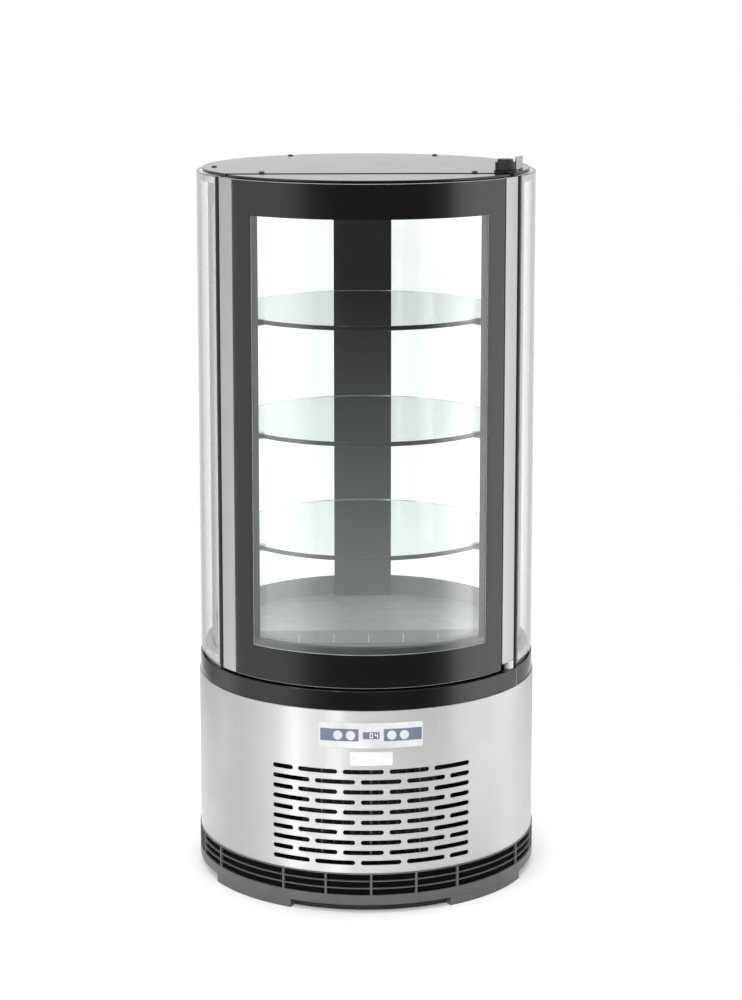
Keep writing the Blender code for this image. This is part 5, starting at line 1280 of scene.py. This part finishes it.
for side, label, node in ((-1, "handle", "door_stile_handle"), (1, "hinge", "door_stile_hinge")):
    low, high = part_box(node)[0].z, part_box(node)[1].z
    outline = [(side * x, y) for x, y in stile_outline()]
    stile = piece_from(f"stile_{label}", extruded(outline, low, high), ALUMINIUM)
    if side > 0:
        pin = disc_points(PIN_BORE, HINGE.x, HINGE.y)
        bores = extruded(pin, low - 0.01, low + BORE_DEPTH)
        extruded(pin, high - BORE_DEPTH, high + 0.01, shape=bores)
        carve(stile, bores)
    fit(stile, "door", "aluminium", node, bevel=0.0004)
    lip = SEAL_LIP if side > 0 else 0.0
    seal = curved_wall(PANE_BACK + SEAT_GAP, GLASS_RADIUS - 0.0004,
                       spread(PANE_ANGLE - lip + 0.02, STILE_START - 0.02), [low + 0.001, high - 0.001])
    if side < 0:
        bmesh.ops.scale(seal, vec=(-1, 1, 1), verts=seal.verts[:])
    fit(piece_from(f"pane_seal_{label}", seal, RUBBER), "door", "rubber")
CAP_LOW, CAP_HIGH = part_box("door_top_cap")[0].z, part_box("door_top_cap")[1].z
chord = -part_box("door_top_cap")[1].y
half = math.degrees(math.acos(chord / CAP_RADIUS))
cap = piece_from("door_cap", extruded(arc_points(CAP_RADIUS, -half, half), CAP_LOW, CAP_HIGH), GLOSS_BLACK)
fit(cap, "door", "black_gloss", "door_top_cap", bevel=0.0008)

# %% [markdown]
# ## Top plate
#
# A thick polished black plate closes the top. Six domed screws hold it. The holes are drilled
# through, so that each screw head sits in a real recess.

# %% Top plate and its screws
PLATE_LOW, PLATE_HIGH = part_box("top_plate")[0].z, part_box("top_plate")[1].z
PLATE_RADIUS = 0.22
SCREW_HOLE = 0.0024
front = -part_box("top_plate")[0].y
corner = math.degrees(math.acos(front / PLATE_RADIUS))
plate = extruded(arc_points(PLATE_RADIUS, corner, 360 - corner), PLATE_LOW, PLATE_HIGH)
plate = piece_from("polished_plate", plate, GLOSS_BLACK)
drill = bmesh.new()
heads = []
for number in range(1, 7):
    low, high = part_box(f"top_screw_{number}")
    centre = (low + high) / 2
    heads.append((number, centre.x, centre.y, high.z))
    hole = disc_points(SCREW_HOLE, centre.x, centre.y)
    extruded(hole, PLATE_LOW - 0.002, PLATE_HIGH + 0.002, shape=drill)
carve(plate, drill)
fit(plate, "case", "black_gloss", "top_plate", bevel=0.0007)
seat = PLATE_HIGH + SEAT_GAP
for number, x, y, top in heads:
    profile = [(0, seat - 0.0038), (0.002, seat - 0.0038), (0.002, seat), (0.004, seat),
               (0.0039, seat + 0.0004), (0.0034, seat + 0.0009), (0.0024, top), (0.0016, top),
               (0.0013, top - 0.0006), (0, top - 0.0007)]
    head = turned(profile, 32, Matrix.Translation((x, y, 0)))
    screw = piece_from(f"plate_screw_{number}", head, BLACK_ENAMEL)
    fit(screw, "case", "black_enamel", f"top_screw_{number}")

# %% [markdown]
# ## Upper hinge
#
# A steel strap on top of the plate holds the hinge pin. A black knob clamps it, and its outer edge is
# folded up into a small tab. The knob has shallow flutes, cut as a star-shaped outline.

# %% Hinge strap and clamping knob
KNOB_RADIUS, KNOB_TOP_RADIUS = 0.0135, 0.0105
FLUTE_COUNT, FLUTE_DEPTH = 12, 0.0006
knob_low, knob_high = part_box("hinge_knob")
KNOB = (knob_low + knob_high) / 2
dress(BLACK_ENAMEL, "hinge_plate_top")
strap = frame["nodes"]["hinge_plate_top"].data
strap.materials.append(ALUMINIUM)
for face in strap.polygons:
    height = sum(strap.vertices[index].co.z for index in face.vertices) / len(face.vertices)
    face.material_index = 1 if height > knob_low.z + 0.0004 else 0
flutes = []
knob_steps = 8 * FLUTE_COUNT
for step in range(knob_steps):
    turn = 2 * math.pi * step / knob_steps
    reach = KNOB_RADIUS - FLUTE_DEPTH * (0.5 + 0.5 * math.cos(FLUTE_COUNT * turn)) ** 3
    flutes.append((KNOB.x + reach * math.cos(turn), KNOB.y + reach * math.sin(turn)))
grip = extruded(flutes, knob_low.z, knob_low.z + 0.010)
extruded(disc_points(KNOB_TOP_RADIUS, KNOB.x, KNOB.y, 48), knob_low.z + 0.009, knob_high.z, shape=grip)
fit(piece_from("clamp_knob", grip, SATIN_BLACK), "case", "black_plastic", "hinge_knob", bevel=0.0006)

# %% [markdown]
# ## Studio
#
# The case stands on a pale round floor in a white room. The room's brightness follows the compass:
# dark towards the camera, light at the left and lighter at the right. That is what paints the soft
# gradient over the black glass. One ring of levels serves the directions below the horizon. Another,
# with two narrow bright strips in it, serves those above. Camera and glass rays see plain white.

# %% Room light
# Compass angle in degrees, from the front towards the right, and the light's level there
RING_LEVELS = ((-180, 0.9), (-150, 0.5), (-135, 0.45), (-120, 0.95), (-112, 1.2), (-105, 1.1),
               (-98, 0.93), (-90, 1.0), (-75, 1.19), (-62, 1.19), (-55, 1.1), (-49, 0.85), (-43, 0.58),
               (-37, 0.3), (-31, 0.22), (-25, 0.12), (-15, 0.08), (30, 0.08), (37, 0.1), (43, 0.17),
               (49, 0.31), (55, 0.6), (61, 1.32), (67, 1.86), (74, 2.06), (81, 2.17), (89, 1.9),
               (97, 1.78), (110, 1.35), (130, 0.8), (150, 0.6), (180, 0.9))
HIGH_LEVELS = ((-180, 0.9), (-149, 1.05), (-136, 0.5), (-126, 0.38), (-105, 0.22), (-90, 0.5),
               (-70, 0.9), (-57, 1.3), (-53.5, 4.1), (-50, 4.1), (-47, 1.6), (-35, 1.45), (-26, 1.6),
               (-23, 4.4), (-20, 4.4), (-18, 1.2), (0, 1.18), (16, 1.05), (28, 0.8), (41, 0.66),
               (55, 0.68), (70, 0.5), (85, 0.36), (92, 0.42), (98, 0.75), (104, 0.95), (118, 1.1),
               (127, 0.95), (137, 0.72), (150, 0.6), (180, 0.9))
TOP_LEVEL = 1.8
THROUGH_GLASS = 1.33
HORIZON_BLUR = 0.06
TOP_START, TOP_END = 0.72, 0.88


def compass_levels(tree, compass, stops):
    """A smooth level round the compass, from (angle, level) pairs."""
    ramp = put(tree, "ShaderNodeValToRGB")
    peak = max(level for angle, level in stops)
    while len(ramp.color_ramp.elements) < len(stops):
        ramp.color_ramp.elements.new(0.5)
    for element, (angle, level) in zip(ramp.color_ramp.elements, stops):
        element.position = angle / 360 + 0.5
        element.color = (level / peak, level / peak, level / peak, 1.0)
    wire(tree, compass, ramp.inputs[0])
    return sum_up(tree, "MULTIPLY", ramp.outputs[0], peak)


def room_light():
    """A world whose strength is worked out from the direction and the kind of ray."""
    world = bpy.data.worlds.new("room")
    bpy.context.scene.world = world
    world.use_nodes = True
    tree = world.node_tree
    split = put(tree, "ShaderNodeSeparateXYZ")
    wire(tree, put(tree, "ShaderNodeTexCoord").outputs["Generated"], split.inputs[0])
    away = sum_up(tree, "MULTIPLY", split.outputs["Y"], -1.0)
    compass = between(tree, sum_up(tree, "ARCTAN2", split.outputs["X"], away), -math.pi, math.pi)
    ring = compass_levels(tree, compass, RING_LEVELS)
    high = compass_levels(tree, compass, HIGH_LEVELS)
    rise = between(tree, split.outputs["Z"], -HORIZON_BLUR, HORIZON_BLUR)
    level = between(tree, rise, 0.0, 1.0, ring, high)
    top = between(tree, split.outputs["Z"], TOP_START, TOP_END)
    level = between(tree, top, 0.0, 1.0, level, TOP_LEVEL)
    path = put(tree, "ShaderNodeLightPath")
    bounced = sum_up(tree, "ADD", path.outputs["Glossy Depth"], path.outputs["Diffuse Depth"])
    direct = between(tree, bounced, 0.0, 1.0, 1.0, 0.0)
    through = sum_up(tree, "MULTIPLY", path.outputs["Is Transmission Ray"], direct)
    level = between(tree, through, 0.0, 1.0, level, THROUGH_GLASS)
    level = between(tree, path.outputs["Is Camera Ray"], 0.0, 1.0, level, 1.0)
    wire(tree, level, tree.nodes["Background"].inputs["Strength"])
    tree.nodes["Background"].inputs["Color"].default_value = (1.0, 1.0, 1.0, 1.0)
    print("room levels at", len(RING_LEVELS), "and", len(HIGH_LEVELS), "compass points")


room_light()

# %% [markdown]
# ## Floor
#
# A disc of pale paper carries the shadow. Its edge melts into the white room, because the camera
# sees a little of its own brightness as well as the light that falls on it.

# %% Pale floor
FLOOR_RADIUS = 1.06


def floor_finish():
    """Matt paper that adds a little light of its own for the rays that see it."""
    material, tree, shader, where = start_finish("pale floor", (0.86, 0.86, 0.86), 0.85)
    cloud = noise(tree, where, 3.0, 3.0)
    paper = blend_colours(tree, cloud, (0.85, 0.85, 0.85), (0.87, 0.87, 0.87))
    wire(tree, paper, shader.inputs["Base Color"])
    path = put(tree, "ShaderNodeLightPath")
    by_glass, by_gloss = path.outputs["Is Transmission Ray"], path.outputs["Is Glossy Ray"]
    second_hand = sum_up(tree, "MAXIMUM", by_glass, by_gloss)
    seen = sum_up(tree, "MAXIMUM", path.outputs["Is Camera Ray"], second_hand)
    shader.inputs["Emission Color"].default_value = (1.0, 1.0, 1.0, 1.0)
    wire(tree, sum_up(tree, "MULTIPLY", seen, 0.20), shader.inputs["Emission Strength"])
    return material


disc = bmesh.new()
bmesh.ops.create_circle(disc, cap_ends=True, segments=128, radius=FLOOR_RADIUS)
floor = piece_from("floor", disc, floor_finish())
print("floor of radius", FLOOR_RADIUS)

# %% [markdown]
# ## Camera
#
# The photo was taken with a long lens from a little above the case. The camera stands slightly to the
# left of it and turns slightly to the right. The optical axis lies above the picture's middle, so the
# camera keeps a small vertical shift.

# %% Camera and view
camera_data = bpy.data.cameras.new("portrait camera")
camera_data.lens = 92.94
camera_data.sensor_width = 36.0
camera_data.sensor_fit = "AUTO"
camera_data.shift_y = -0.1
camera = bpy.data.objects.new("portrait camera", camera_data)
camera.location = (-0.0965, -3.4741, 1.2500)
camera.rotation_euler = (math.radians(80.17), 0.0, math.radians(-1.70))
bpy.context.scene.collection.objects.link(camera)
bpy.context.scene.camera = camera
bpy.context.scene.view_settings.view_transform = "Standard"
print("camera at", [round(value, 3) for value in camera.location])
